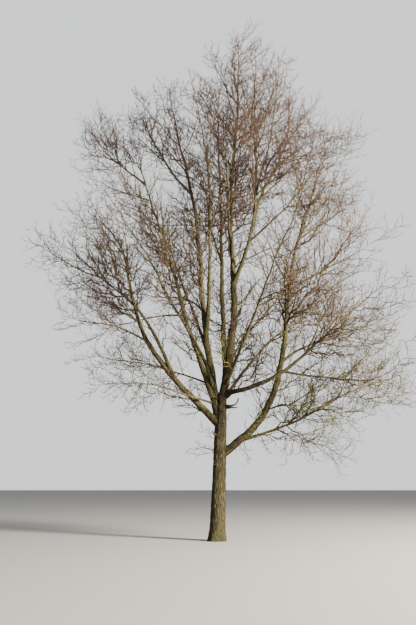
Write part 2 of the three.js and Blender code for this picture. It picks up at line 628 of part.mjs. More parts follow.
// The solid side branches of a limb or arm, with twigs on those of the limb itself.
function sideSolids(limb, mates, others) {
  const solids = [];
  const count = Math.round(((1 - limb.bare) * limb.length) / SIDE_PITCH);
  for (let k = 0; k < count; k += isArm(limb) ? ARM_STRONG_EVERY : STRONG_EVERY) {
    const side = SIDE_SHARES.map((share) => sideBranch(limb, k, count, share))
      .find((branch) => keepsToItsSpace(branch.points, mates, others));
    if (!side) continue;
    const twigs = isArm(limb) ? [] : sideTwigs(side);
    const kept = twigs.filter((twig) => keepsToItsSpace(twig.points, mates, others));
    solids.push(...[side, ...kept].map((branch) => spike(branch.points, branch.radius)));
  }
  return solids;
}

// The twig mass of a limb: the rest of its curve as a thin stem, its arms, and the side branches of both.
function massSolid(limb, limbs) {
  const mates = Object.values(limbs).filter((other) => other.owner === limb.name);
  const others = Object.values(limbs).filter((other) => other.owner !== limb.name);
  let mass = massStem(limb, { gap: CLEAR });
  for (const mate of mates) {
    if (isArm(mate)) mass = mass.add(massStem(mate));
    for (const solid of sideSolids(mate, mates, others)) mass = mass.add(solid);
  }
  return mass.asOriginal().simplify(MASS_EDGE);
}

function meshOf(name, solid, color) {
  const mesh = solid.getMesh();
  const geometry = new THREE.BufferGeometry();
  geometry.setAttribute('position', new THREE.Float32BufferAttribute(mesh.vertProperties, 3));
  geometry.setIndex(new THREE.Uint32BufferAttribute(mesh.triVerts, 1));
  geometry.computeVertexNormals();
  const material = new THREE.MeshStandardMaterial({ color, roughness: BARK_ROUGHNESS, metalness: 0 });
  const out = new THREE.Mesh(geometry, material);
  out.name = name;
  return out;
}

function buildTree() {
  const limbs = growLimbs();
  const tree = new THREE.Group();
  tree.name = 'bare_tree';
  tree.add(meshOf('trunk', trunkSolid(limbs.leader, limbs.left_stem), TRUNK_COLOUR));
  const boughs = buildBoughs(limbs, trunkSolid(limbs.leader, limbs.left_stem, CUT_CLEAR));
  for (const [name, solid] of Object.entries(boughs)) {
    tree.add(meshOf(`bough_${name}`, solid, BOUGH_COLOUR));
  }
  for (const limb of Object.values(limbs)) {
    if (isArm(limb)) continue;
    tree.add(meshOf(`twigs_${limb.name}`, massSolid(limb, limbs), TWIG_COLOUR));
  }
  return tree;
}

export default buildTree();
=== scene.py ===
import json
import math
from dataclasses import dataclass

import bmesh
import bpy
import numpy as np
from bpy.props import FloatProperty, FloatVectorProperty, PointerProperty
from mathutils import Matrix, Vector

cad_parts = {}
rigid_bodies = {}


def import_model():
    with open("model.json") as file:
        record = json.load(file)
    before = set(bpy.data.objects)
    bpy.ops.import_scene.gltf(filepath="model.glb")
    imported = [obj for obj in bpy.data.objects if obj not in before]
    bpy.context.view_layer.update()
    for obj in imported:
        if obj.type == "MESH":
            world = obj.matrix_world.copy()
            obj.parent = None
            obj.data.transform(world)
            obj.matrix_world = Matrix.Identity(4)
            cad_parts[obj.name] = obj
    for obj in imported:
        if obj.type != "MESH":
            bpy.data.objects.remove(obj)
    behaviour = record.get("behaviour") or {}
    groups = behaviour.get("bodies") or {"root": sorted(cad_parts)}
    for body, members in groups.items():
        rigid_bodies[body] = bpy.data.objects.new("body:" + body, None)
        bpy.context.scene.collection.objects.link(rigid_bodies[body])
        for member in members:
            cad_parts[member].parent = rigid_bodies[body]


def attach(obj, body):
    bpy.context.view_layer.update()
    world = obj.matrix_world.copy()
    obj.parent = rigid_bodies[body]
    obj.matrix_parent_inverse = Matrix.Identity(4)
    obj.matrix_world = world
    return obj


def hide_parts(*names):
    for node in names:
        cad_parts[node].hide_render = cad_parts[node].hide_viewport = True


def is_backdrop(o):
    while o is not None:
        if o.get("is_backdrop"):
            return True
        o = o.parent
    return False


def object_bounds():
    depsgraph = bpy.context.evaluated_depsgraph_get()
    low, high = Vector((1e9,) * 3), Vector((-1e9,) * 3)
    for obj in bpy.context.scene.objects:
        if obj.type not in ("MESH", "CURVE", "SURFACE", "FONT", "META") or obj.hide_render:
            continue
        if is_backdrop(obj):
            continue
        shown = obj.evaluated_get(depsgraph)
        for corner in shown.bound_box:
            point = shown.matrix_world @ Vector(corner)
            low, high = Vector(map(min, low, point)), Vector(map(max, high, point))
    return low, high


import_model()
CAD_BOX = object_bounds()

bl_info = {
    "name": "Bare winter tree",
    "version": (1, 0, 0),
    "blender": (4, 5, 0),
    "location": "3D View > Sidebar > Tree",
    "description": "Dresses a bare broadleaved tree: trunk, limbs, branchlets, twigs, shoots and buds",
    "category": "Object",
}

# Metres and degrees. +Z is up, +X is the photograph's right, +Y is away from the camera.
BODY = "root"

# The camera of the photograph, at eye height in front of the tree, tilted up.
CAMERA_PLACE = (-0.26, -18.86, 1.6)
CAMERA_TILT = 15.75
CAMERA_LENS = 35.0
CAMERA_SENSOR = 36.0
CAMERA_CLIP = 500

# Trunk: how far the centreline stands to the right at each height, and the radius at each height.
TRUNK_LINE = ((0, 0), (1.2, 0.05), (2.2, 0.09), (3.0, 0.12), (4.1, 0.18))
TRUNK_RADIUS = ((0, 0.246), (0.3, 0.232), (1.3, 0.214), (2.2, 0.200), (2.7, 0.194), (3.3, 0.184),
                (4.1, 0.142))
TRUNK_TOP = 4.1
FLARE = 0.05
FLARE_HEIGHT = 0.21
FLARE_TOES = 5
FLARE_TOE_SHARE = 0.45
FLARE_TOE_TURN = 2.2

# Every limb: where it starts (height on the trunk, or share of the parent's length), its heading and how
# far the heading swings, its rise where it leaves, at the knee and at the tip, the knee's share, its
# length, its radius, the share that is a bare bough, and how far its lowest side branches reach.
COLUMNS = ("parent", "at", "heading", "swing", "leave", "climb", "tip", "knee", "length", "radius",
           "bare", "reach")
LIMBS = {
    "leader": ("trunk", TRUNK_TOP, 10, 10, 80, 90, 84, 0.4, 13.9, 0.140, 0.30, 2.3),
    "left_stem": ("trunk", 2.9, 176, -30, 84, 83, 78, 0.3, 13.6, 0.126, 0.29, 2.2),
    "low_right": ("trunk", 2.42, -8, 10, 34, 80, 72, 0.3, 11.7, 0.122, 0.36, 2.3),
    "low_left": ("trunk", 3.3, 184, -10, 42, 75, 36, 0.64, 9.2, 0.112, 0.42, 2.0),
    "left_outer": ("low_left", 0.22, 190, 8, 66, 38, 28, 0.7, 5.9, 0.066, 0.42, 2.0),
    "left_flat": ("low_left", 0.38, 192, 10, 30, 6, 4, 0.5, 2.8, 0.034, 0.26, 1.4),
    "left_mid": ("left_stem", 0.06, 178, 14, 73, 72, 84, 0.66, 9.9, 0.098, 0.37, 2.2),
    "left_high": ("left_mid", 0.81, 168, -14, 44, 42, 64, 0.4, 3.3, 0.036, 0.22, 1.4),
    "left_upper": ("left_stem", 0.62, 190, 16, 46, 54, 92, 0.4, 4.0, 0.042, 0.24, 1.5),
    "left_sag": ("left_mid", 0.33, 172, -8, 6, -8, -4, 0.4, 3.0, 0.030, 0.30, 1.2),
    "left_thin_up": ("left_stem", 0.12, 166, 14, 28, 14, 12, 0.4, 4.3, 0.034, 0.34, 1.4),
    "left_thin_low": ("left_stem", 0.08, 200, 8, 14, 10, -14, 0.4, 3.9, 0.034, 0.34, 1.4),
    "front_stem": ("left_stem", 0.25, -62, -80, 76, 86, 70, 0.3, 8.4, 0.074, 0.30, 2.0),
    "back_stem": ("leader", 0.05, 96, 0, 70, 83, 85, 0.25, 12.8, 0.096, 0.32, 2.2),
    "right_upright": ("leader", 0.28, -48, 0, 52, 87, 90, 0.32, 8.6, 0.070, 0.24, 1.9),
    "right_high": ("right_upright", 0.24, 34, 4, 72, 61, 56, 0.4, 6.4, 0.048, 0.26, 1.4),
    "right_cross": ("right_upright", 0.16, -24, -10, 30, 42, 40, 0.4, 3.9, 0.040, 0.28, 1.5),
    "right_inner": ("leader", 0.08, 30, -10, 60, 50, 46, 0.3, 5.2, 0.042, 0.32, 1.6),
    "front_right": ("leader", 0.014, -28, 12, 6, 42, 34, 0.6, 6.2, 0.078, 0.40, 1.8),
    "right_sag": ("front_right", 0.33, -14, 8, -16, -6, 34, 0.5, 3.5, 0.034, 0.34, 1.4),
    "back_right": ("trunk", 4.02, 36, -8, 54, 42, 36, 0.3, 7.5, 0.060, 0.34, 2.0),
    "right_side_low": ("low_right", 0.30, 2, 8, 40, 20, 26, 0.3, 3.9, 0.044, 0.24, 1.6),
    "right_side_mid": ("low_right", 0.50, -16, 10, 36, 22, 32, 0.3, 3.1, 0.040, 0.22, 1.6),
    "right_side_high": ("low_right", 0.65, 10, 10, 40, 38, 36, 0.3, 2.8, 0.034, 0.22, 1.4),
    "low_sweep": ("low_right", 0.06, -12, 12, 14, 28, 14, 0.4, 5.3, 0.048, 0.18, 1.8),
    "front_low": ("leader", 0.03, -58, -10, 46, 48, 44, 0.3, 6.8, 0.058, 0.34, 2.0),
    "front_left": ("left_stem", 0.11, -140, 4, 66, 52, 42, 0.3, 7.0, 0.056, 0.34, 1.6),
    "back_left": ("left_stem", 0.18, 120, -8, 60, 56, 56, 0.3, 7.8, 0.060, 0.34, 1.6),
    "back_low": ("leader", 0.07, 84, 0, 40, 46, 44, 0.3, 7.2, 0.060, 0.34, 2.0),
}

# The longest side branches of the masses, in the same columns as far as the radius.
ARMS = (
    ("leader", 0.80, 165, -20, 76, 88, 88, 0.3, 2.4, 0.024),
    ("leader", 0.77, 200, 10, 50, 56, 74, 0.4, 2.2, 0.024),
    ("leader", 0.59, 176, 30, 40, 74, 84, 0.3, 2.8, 0.030),
    ("leader", 0.50, 5, -10, 60, 70, 80, 0.4, 2.6, 0.028),
    ("leader", 0.45, -80, 10, 40, 55, 62, 0.3, 3.6, 0.034),
    ("right_upright", 0.33, -20, 6, 74, 78, 85, 0.4, 5.2, 0.036),
    ("right_high", 0.58, 30, 0, 72, 86, 84, 0.3, 3.0, 0.024),
    ("low_right", 0.42, -14, 6, 22, 38, 24, 0.4, 2.9, 0.028),
    ("low_right", 0.74, 160, 0, 64, 82, 84, 0.3, 2.6, 0.024),
    ("low_right", 0.46, 80, -10, 30, 45, 55, 0.3, 3.0, 0.030),
    ("low_right", 0.40, -80, 10, 28, 40, 50, 0.3, 2.8, 0.028),
    ("left_stem", 0.30, 165, 6, 52, 12, 6, 0.4, 2.8, 0.036),
    ("left_stem", 0.53, 176, 0, 4, 0, 24, 0.5, 2.2, 0.020),
    ("left_stem", 0.75, 6, 0, 56, 74, 80, 0.4, 1.9, 0.020),
    ("left_stem", 0.78, 188, 0, 36, 48, 70, 0.4, 2.4, 0.024),
    ("left_stem", 0.45, 100, 10, 42, 55, 60, 0.3, 3.2, 0.030),
    ("left_mid", 0.51, 168, 4, 44, 40, 46, 0.4, 2.8, 0.030),
    ("left_mid", 0.75, 190, 0, 12, 14, 40, 0.5, 2.2, 0.022),
    ("left_mid", 0.46, -110, -10, 38, 50, 60, 0.3, 3.0, 0.030),
    ("left_outer", 0.54, 185, 0, 70, 84, 80, 0.4, 1.9, 0.022),
    ("low_left", 0.46, 192, 0, 26, 34, 36, 0.4, 2.6, 0.028),
    ("back_stem", 0.34, 185, 20, 70, 82, 46, 0.3, 5.3, 0.038),
    ("back_stem", 0.74, 195, 0, 76, 62, 66, 0.4, 2.5, 0.024),
    ("back_stem", 0.45, 75, 10, 40, 55, 60, 0.3, 3.4, 0.032),
    ("leader", 0.31, -30, 20, 50, 10, 46, 0.35, 2.4, 0.026),
    ("low_sweep", 0.22, -55, 10, -14, -36, -10, 0.5, 1.5, 0.022),
    ("low_sweep", 0.30, 40, 0, 34, 40, 8, 0.4, 1.8, 0.022),
    ("low_sweep", 0.46, -50, 0, 6, -24, -20, 0.5, 1.7, 0.020),
    ("right_inner", 0.40, -20, 0, 22, 60, 62, 0.4, 2.4, 0.022),
    ("back_right", 0.42, -24, 0, 12, 44, 60, 0.4, 2.6, 0.024),
    ("front_right", 0.46, -50, 10, 54, 60, 50, 0.4, 2.6, 0.026),
    ("front_low", 0.40, -10, 0, 22, 44, 60, 0.4, 2.6, 0.024),
    ("left_outer", 0.68, 200, 0, 8, 20, 40, 0.4, 2.2, 0.022),
    ("low_left", 0.60, 170, 0, 74, 86, 76, 0.4, 2.6, 0.026),
    ("right_upright", 0.52, -60, 0, 40, 64, 74, 0.4, 2.6, 0.024),
    ("right_upright", 0.31, -10, 0, 40, 42, 46, 0.4, 3.4, 0.032),
    ("right_high", 0.42, 10, 0, 20, 36, 42, 0.4, 2.8, 0.024),
    ("right_cross", 0.40, 12, 0, 10, 22, 34, 0.4, 2.4, 0.022),
    ("low_right", 0.52, 175, 0, 56, 70, 70, 0.4, 2.8, 0.026),
    ("right_side_low", 0.35, -20, 0, 52, 50, 40, 0.4, 2.2, 0.022),
    ("right_side_mid", 0.40, 20, 0, 50, 52, 50, 0.4, 2.0, 0.022),
    ("back_right", 0.60, 20, 0, 8, 20, 36, 0.4, 2.2, 0.022),
    ("leader", 0.62, -30, 0, 56, 70, 78, 0.4, 3.0, 0.026),
    ("leader", 0.72, -140, 0, 56, 70, 78, 0.4, 2.4, 0.024),
    ("leader", 0.66, 110, 0, 50, 66, 74, 0.4, 2.6, 0.024),
    ("low_right", 0.62, -60, 0, 50, 64, 72, 0.4, 2.8, 0.026),
    ("low_right", 0.68, 24, 0, 40, 54, 62, 0.4, 2.6, 0.024),
    ("right_high", 0.34, 60, 0, 50, 64, 72, 0.4, 2.8, 0.026),
    ("right_high", 0.72, 60, 0, 50, 66, 76, 0.4, 2.0, 0.022),
    ("right_cross", 0.56, -60, 0, 54, 62, 66, 0.4, 1.8, 0.022),
    ("front_right", 0.62, 14, 0, 6, 14, 30, 0.4, 2.2, 0.024),
    ("low_sweep", 0.60, 20, 0, 48, 52, 40, 0.4, 1.9, 0.020),
    ("right_sag", 0.48, 22, 0, 34, 42, 48, 0.4, 1.8, 0.020),
    ("leader", 0.70, -8, 0, 46, 56, 70, 0.4, 2.7, 0.024),
    ("right_upright", 0.62, 20, 0, 50, 62, 74, 0.4, 2.6, 0.024),
    ("back_stem", 0.60, 0, 0, 44, 58, 74, 0.4, 2.8, 0.026),
    ("right_side_high", 0.45, -20, 0, 60, 66, 60, 0.4, 1.8, 0.020),
    ("leader", 0.35, -100, 10, 44, 52, 60, 0.3, 4.2, 0.036),
    ("low_right", 0.39, -100, 14, 40, 46, 56, 0.3, 3.6, 0.032),
    ("low_right", 0.44, 100, -14, 36, 46, 56, 0.3, 3.6, 0.032),
    ("low_left", 0.45, -100, -14, 36, 44, 56, 0.3, 3.4, 0.030),
    ("low_left", 0.50, 96, 14, 36, 44, 56, 0.3, 3.2, 0.030),
    ("front_stem", 0.40, -60, 0, 40, 50, 62, 0.3, 3.2, 0.028),
    ("left_high", 0.36, 150, 0, 56, 66, 74, 0.4, 1.8, 0.022),
    ("left_high", 0.50, 202, 0, 10, 20, 36, 0.4, 1.2, 0.020),
    ("left_mid", 0.62, 190, 0, 40, 52, 62, 0.4, 2.8, 0.026),
    ("left_mid", 0.86, 150, 0, 56, 70, 80, 0.4, 1.9, 0.020),
    ("left_upper", 0.36, 176, 0, 40, 48, 62, 0.4, 2.4, 0.022),
    ("left_upper", 0.52, 150, 0, 64, 80, 84, 0.4, 2.0, 0.020),
    ("low_left", 0.72, 196, 0, 44, 54, 62, 0.4, 2.2, 0.022),
    ("left_stem", 0.69, 184, 0, 46, 58, 72, 0.4, 2.6, 0.024),
    ("leader", 0.67, 172, 0, 52, 68, 80, 0.4, 2.8, 0.024),
    ("back_stem", 0.66, 168, 0, 46, 60, 76, 0.4, 2.6, 0.024),
    ("back_stem", 0.82, 200, 0, 44, 60, 72, 0.4, 1.8, 0.020),
    ("low_sweep", 0.40, 4, 0, 60, 56, 40, 0.4, 2.2, 0.020),
    ("right_sag", 0.40, -34, 0, -20, -6, 10, 0.4, 2.0, 0.020),
    ("right_side_low", 0.50, 14, 0, -14, -4, 14, 0.4, 1.8, 0.020),
    ("front_right", 0.54, -8, 0, -16, -2, 16, 0.4, 2.4, 0.024),
    ("left_outer", 0.62, 176, 0, 52, 62, 70, 0.4, 2.0, 0.020),
    ("right_side_high", 0.40, 30, 0, 64, 72, 76, 0.4, 1.8, 0.020),
)
ARM_REACH = 1.3
ARM_FIRST_SEED = 51

# The numbers of the rule that turns a seed and a count into a fixed number, shared with the source.
SCATTER = (12.9898, 78.233, 43758.5453)
# Which of a seed's fixed numbers each thing takes.
DRAW_RISE, DRAW_HEADING, DRAW_TURN, DRAW_SPREAD, DRAW_LENGTH, DRAW_BEND = range(1, 7)
DRAW_PLACE, DRAW_TINT, DRAW_LICHEN, DRAW_TWIG_TURN, DRAW_TWIG_SPREAD, DRAW_BARE_REACH = range(7, 13)
DRAW_TWIG_LENGTH, DRAW_STRAY, DRAW_ZIGZAG, DRAW_WOBBLE, DRAW_BUD = 20, 30, 40, 50, 60

# The source's rule for a limb's curve and radius.
STEPS = 40
WANDER_FREE = 4
WANDER_RISE = 4
WANDER_RISE_WAVES = 1.7
WANDER_HEADING = 6
WANDER_HEADING_WAVES = 2.3
DEPTH_GAIN = 0.34
DEPTH_FADE = 2.5
TIP_RADIUS = 0.009
TAPER = 1.1
SWELL = 0.3
SWELL_LENGTH = 0.26
STEM_SEGMENT = 1.2
STEM_LEAST_SEGMENTS = 3

# The source's rule for side branches; where two numbers vary a value, they are its least and its span.
SEEDS_PER_LIMB = 100
SIDE_PITCH = 0.18
SIDE_PLACES = (0.03, 0.95)
SIDE_TURN = 137.5
SIDE_TURN_VARY = 40
SIDE_SPREAD = 47
SIDE_SPREAD_VARY = 16
SIDE_BEND = 10.0
SIDE_LIFT = 0.3
SIDE_SHORTEN = 0.6
SIDE_LENGTH = (0.7, 0.6)
SIDE_OUTWARD = (0.8, 0.42)
SIDE_LEAST = 0.45
SIDE_SHARES = (1, 0.7, 0.45)
SIDE_RADIUS_SHARE = 0.6
SIDE_RADIUS = (0.008, 0.034)
SIDE_KNEE = 0.45
# Every third side branch is a strong one; its reach and that of the others, against the rule's.
STRONG_EVERY = 3
STRONG_REACH = 1.25
WEAK_REACH = 0.85
SPACE_MARGIN = 0.028
# The dressed side branches only keep this clear of other limbs, and are as thick as their length asks.
SPACE_CLEAR = 0.2
SPACE_TESTS = 8
SIDE_SLENDER = (0.006, 0.0105)
# They are curves of this many points with a small zigzag, which rise or, on the drooping limbs, sag.
SIDE_POINTS = 9
SIDE_ZIGZAG = 0.085
ZIGZAG_SEED_STEP = 0.37
SIDE_RISE = 0.05
SIDE_SAG = -0.34
SAG_SHAPE = 1.25
SIDE_TAPER = 0.62
SIDE_SIDES = 6

# Those on the bare boughs: how far apart, how far from the root, their reach and how it varies.
BARE_PITCH = 0.16
BARE_FIRST = 0.4
BARE_REACH = 0.8
BARE_VARY = (0.25, 0.75)
BARE_FIRST_SEED = 70

# Branchlets stand thin half way up, where limbs stand behind one another, in a band lower on the right.
DENSITY_LEAST = 0.68
DENSER_ABOVE = 9.6
DENSER_BELOW = 7.2
DENSITY_LEAN = 0.35
DENSITY_FADE = 1.6
DENSITY_ABOVE = 0.62
DENSITY_BELOW = 0.6

# A twig's seed: factors of its parent's seed and of its own number, a shift, and how many seeds there are.
TWIG_SEEDS = (31, 7, 11, 100003)
# The finer twigs: how places, turns, spreads and lengths vary, and how the way wobbles from point to point.
TWIG_PLACES = (0.3, 0.4)
TWIG_TURN = 180
TWIG_TURN_BY_PARENT = 35
TWIG_TURN_VARY = 70
TWIG_SPREADS = (0.8, 0.4)
TWIG_LENGTHS = (0.7, 0.6)
TWIG_WOBBLE = 0.6
TWIG_THIN = 0.6
TWIG_TAPER = 0.5
TWIG_WAY_STEP = 0.05
TWIG_LOWEST = 0.4

# Tints: the shares of red by height and distance out, of brown, and of lichen low on the right.
TINT_HEIGHT = 18
TINT_MIDDLE = 0.3
RED_LEAST = 0.15
RED_HIGH = (0.5, 0.35, 0.45)
RED_OUTSIDE = (0.1, 4)
BROWN_SHARE = 0.28
LICHEN_MOST = 0.7
LICHEN_BELOW = (6.2, 2.4)
LICHEN_RIGHT_OF = (-1, 3)

# Buds: how long against the size given, how far out on the tip and how thick against their length.
BUD_VARY = (0.8, 0.4)
BUD_OUT = 0.2
BUD_GIRTH = 0.28
BUD_ON_ONE_TWIG_IN = 5
BUD_SIDES = 4

# How far past the CAD box the dressed tree may reach, as a share of each side.
SPARE_SHARE = 0.028

# The dressed limbs follow the rule's curve and stray from it a little, more where they are thin.
PATH_STEP = 0.12
PATH_LEAST_STEPS = 12
STRAY_SHARE = 0.2
STRAY_THIN = 0.015
STRAY_THIN_FADE = 0.2
STRAY_FREE = 0.8
STRAY_WAVES = ((1.9, 0.6), (0.7, 0.4))
SHIFT_FADE = 1.2
END_TAPER = 0.9
END_GIRTH = 0.3

# How much of a limb is joined to the trunk in one skin, for the limbs that leave near the fork.
JOINED = {
    "leader": 1.7, "left_stem": 2.6, "low_right": 1.2, "low_left": 0.9, "front_right": 0.7,
    "back_right": 0.6, "left_mid": 0.7, "back_stem": 0.6, "front_low": 0.5, "back_low": 0.5,
    "right_inner": 0.4, "left_thin_low": 0.3, "left_thin_up": 0.3, "low_sweep": 0.35,
}
TAKE_OVER = 0.16
TAKE_OVER_SHARE = 0.82
JOINED_STEP = 0.05
LEADER_FOOT = 0.3
LEADER_FOOT_GIRTH = 0.96

# The trunk's rings: heights from under the ground to the fork, small toes and flutes: size, count and turn.
RING_SIDES = 48
RING_HEIGHTS = ((-0.08, 0.8, 23), (0.88, TRUNK_TOP, 33))
SMALL_TOES = (0.25, 9, 1.1)
FLUTES = ((0.006, 3, 0.9, 0), (0.004, 5, -1.3, 2))
STRAND_SIDES = 24
TRUNK_STRAND_POINTS = 15

# Short stubs of lost branches on the trunk: height, heading, rise, how far they curl up, length and radius.
STUBS = (
    (3.86, -14, 0, 8, 0.34, 0.030),
    (4.04, -44, -34, 118, 0.58, 0.032),
    (4.08, -16, 30, 50, 0.55, 0.026),
    (2.96, 215, 20, 10, 0.24, 0.030),
    (1.86, 60, 35, 0, 0.22, 0.028),
)
STUB_STEPS = 14
STUB_WAVE = (40, 4)
STUB_GIRTH = (1.5, 0.7, 1.3)

# Sprouts near the fork: what they grow on, where on it, heading, rise and length.
SPROUTS = (
    ("trunk", 2.46, 186, 24, 0.72), ("trunk", 2.60, 200, 8, 0.80), ("trunk", 2.78, 178, 38, 0.66),
    ("trunk", 2.98, 210, 20, 0.50), ("trunk", 2.34, 170, 50, 0.44), ("trunk", 2.52, 184, -8, 0.74),
    ("trunk", 3.25, -60, 30, 0.52), ("trunk", 3.05, 95, 25, 0.50), ("trunk", 2.05, 240, 40, 0.30),
    ("trunk", 4.05, 205, 22, 1.10), ("leader", 0.02, -70, 40, 0.80), ("leader", 0.03, -20, 35, 0.90),
    ("low_right", 0.07, -70, -34, 0.95), ("low_right", 0.08, -110, -20, 0.80),
    ("low_right", 0.10, 60, -24, 0.90), ("low_right", 0.12, -60, -50, 0.85),
    ("low_right", 0.14, -90, -10, 0.70), ("low_right", 0.05, 80, 10, 0.70),
    ("left_stem", 0.10, 215, 30, 0.80), ("left_stem", 0.12, 150, 20, 0.70),
    ("low_left", 0.05, 230, 50, 0.55),
)
SPROUT_BEND = 22.0
SPROUT_LIFT = 0.25
SPROUT_RADIUS = (0.006, 0.005)
SPROUT_FIRST_SEED = 9000
SPROUT_MASS = "left_thin_low"

# Fine twigs droop on these limbs before they turn up again.
DROOPING = ("low_sweep", "right_sag", "front_right", "left_thin_low", "left_sag", "left_thin_up")

TINTS = ("red", "brown", "grey", "lichen")

# How strongly dry bark reflects at its surface, against most materials' 0.5.
SHINE = 0.12

# The bark's cracks: how far they wind, where their slope begins and ends, and how much of it is sunk in.
CRACK_TWIST = 1.1
CRACK_EDGE = (0.02, 0.34)
CRACK_SUNK = 0.6
# The lumps of the trunk and the ridges of the boughs, against the sizes given.
TRUNK_LUMPS = 2
BOUGH_RIDGES = 0.5
# How much the joined skin of the trunk is smoothed, and how many times.
SOFTEN_SHARE = 0.5
SOFTEN_TIMES = 5

# Heights between which the bark changes: two for a change, four for a band that comes and goes again.
DAMP_FOOT = (0.02, 0.55)
HIGH_BARK = (6.0, 15.0)
LICHEN_AT_FORK = (2.0, 2.2, 2.45, 2.8)
LICHEN_ON_BOUGH_FEET = (2.2, 2.5, 3.0, 3.5)
LICHEN_FADES = (3.2, 7.5)

# Limbs are skinned in three classes by thickness: the least radius, the sides and the rings for each step.
LIMB_CLASSES = (("thick", 0.09, 30, 2), ("middle", 0.05, 18, 2), ("slender", 0.0, 10, 2))

FLOOR_HALF = 150.0


@dataclass(frozen=True)
class Level:
    """How one level of twigs grows on the level before it.

    That is how far apart and how many at most, on which span of the parent, how they spread, lift and curl,
    their share of its length and how that shortens, their radius, and the points and sides of each.
    """
    pitch: float
    most: int
    span: tuple
    spread: float
    lift: float
    curl: float
    share: float
    shorten: float
    radius_share: float
    radius: tuple
    points: int
    sides: int


TWIG_LEVELS = {
    "branchlets": Level(0.17, 15, (0.12, 0.98), 44, 0.12, 0.35, 0.46, 0.40, 0.64, (0.0080, 0.0165), 4, 4),
    "twigs": Level(0.14, 7, (0.12, 1.0), 42, 0.10, 0.4, 0.44, 0.3, 0.7, (0.0064, 0.0090), 3, 3),
    "shoots": Level(0.12, 2, (0.25, 1.0), 40, 0.12, 0.3, 0.54, 0.3, 0.8, (0.0048, 0.0062), 2, 3),
}


def unit(vectors):
    return vectors / np.maximum(np.linalg.norm(vectors, axis=-1, keepdims=True), 1e-12)


def chance(seed, n):
    """A fixed number from 0 to 1 for each seed and count."""
    by_seed, by_count, size = SCATTER
    value = np.sin(np.asarray(seed, float) * by_seed + n * by_count) * size
    return value - np.floor(value)


def varied(seed, n, span):
    """A fixed number for each seed within half a span of nought."""
    return span * (chance(seed, n) - 0.5)


def drawn(seed, n, least, span):
    """A fixed number for each seed from the least to the least and the span."""
    return least + span * chance(seed, n)


def smooth(t):
    t = np.clip(t, 0.0, 1.0)
    return t * t * (3 - 2 * t)


def between(rows, x):
    """The value at x in a list of (x, value) rows."""
    return np.interp(x, [row[0] for row in rows], [row[1] for row in rows])


def trunk_point(height):
    height = np.asarray(height, float)
    return np.stack([between(TRUNK_LINE, height), np.zeros_like(height), height], axis=-1)


def heading_vector(heading, rise):
    heading, rise = np.radians(heading), np.radians(rise)
    return np.stack([np.cos(heading) * np.cos(rise), np.sin(heading) * np.cos(rise), np.sin(rise)], axis=-1)


def along(rows, share):
    """The point at a share of the way along evenly spaced rows."""
    x = np.clip(np.asarray(share, float), 0, 1) * (len(rows) - 1)
    i = np.minimum(x.astype(int), len(rows) - 2)
    t = (x - i)[..., None]
    return rows[i] * (1 - t) + rows[i + 1] * t


def across(ways):
    """Two directions square to each given one."""
    upright = np.abs(ways[..., 2:3]) > 0.95
    flat = np.where(upright, np.array([1.0, 0, 0]), np.array([0, 0, 1.0]))
    a = unit(np.cross(flat, ways))
    return a, np.cross(ways, a)


def offshoot(ways, turn, spread, lift):
    """Directions spread from the given ones by an angle, turned round them, and bent up or down."""
    a, b = across(ways)
    turn, spread = np.radians(turn)[..., None], np.radians(spread)[..., None]
    out = ways * np.cos(spread) + np.sin(spread) * (a * np.cos(turn) + b * np.sin(turn))
    out[..., 2] += lift
    return unit(out)


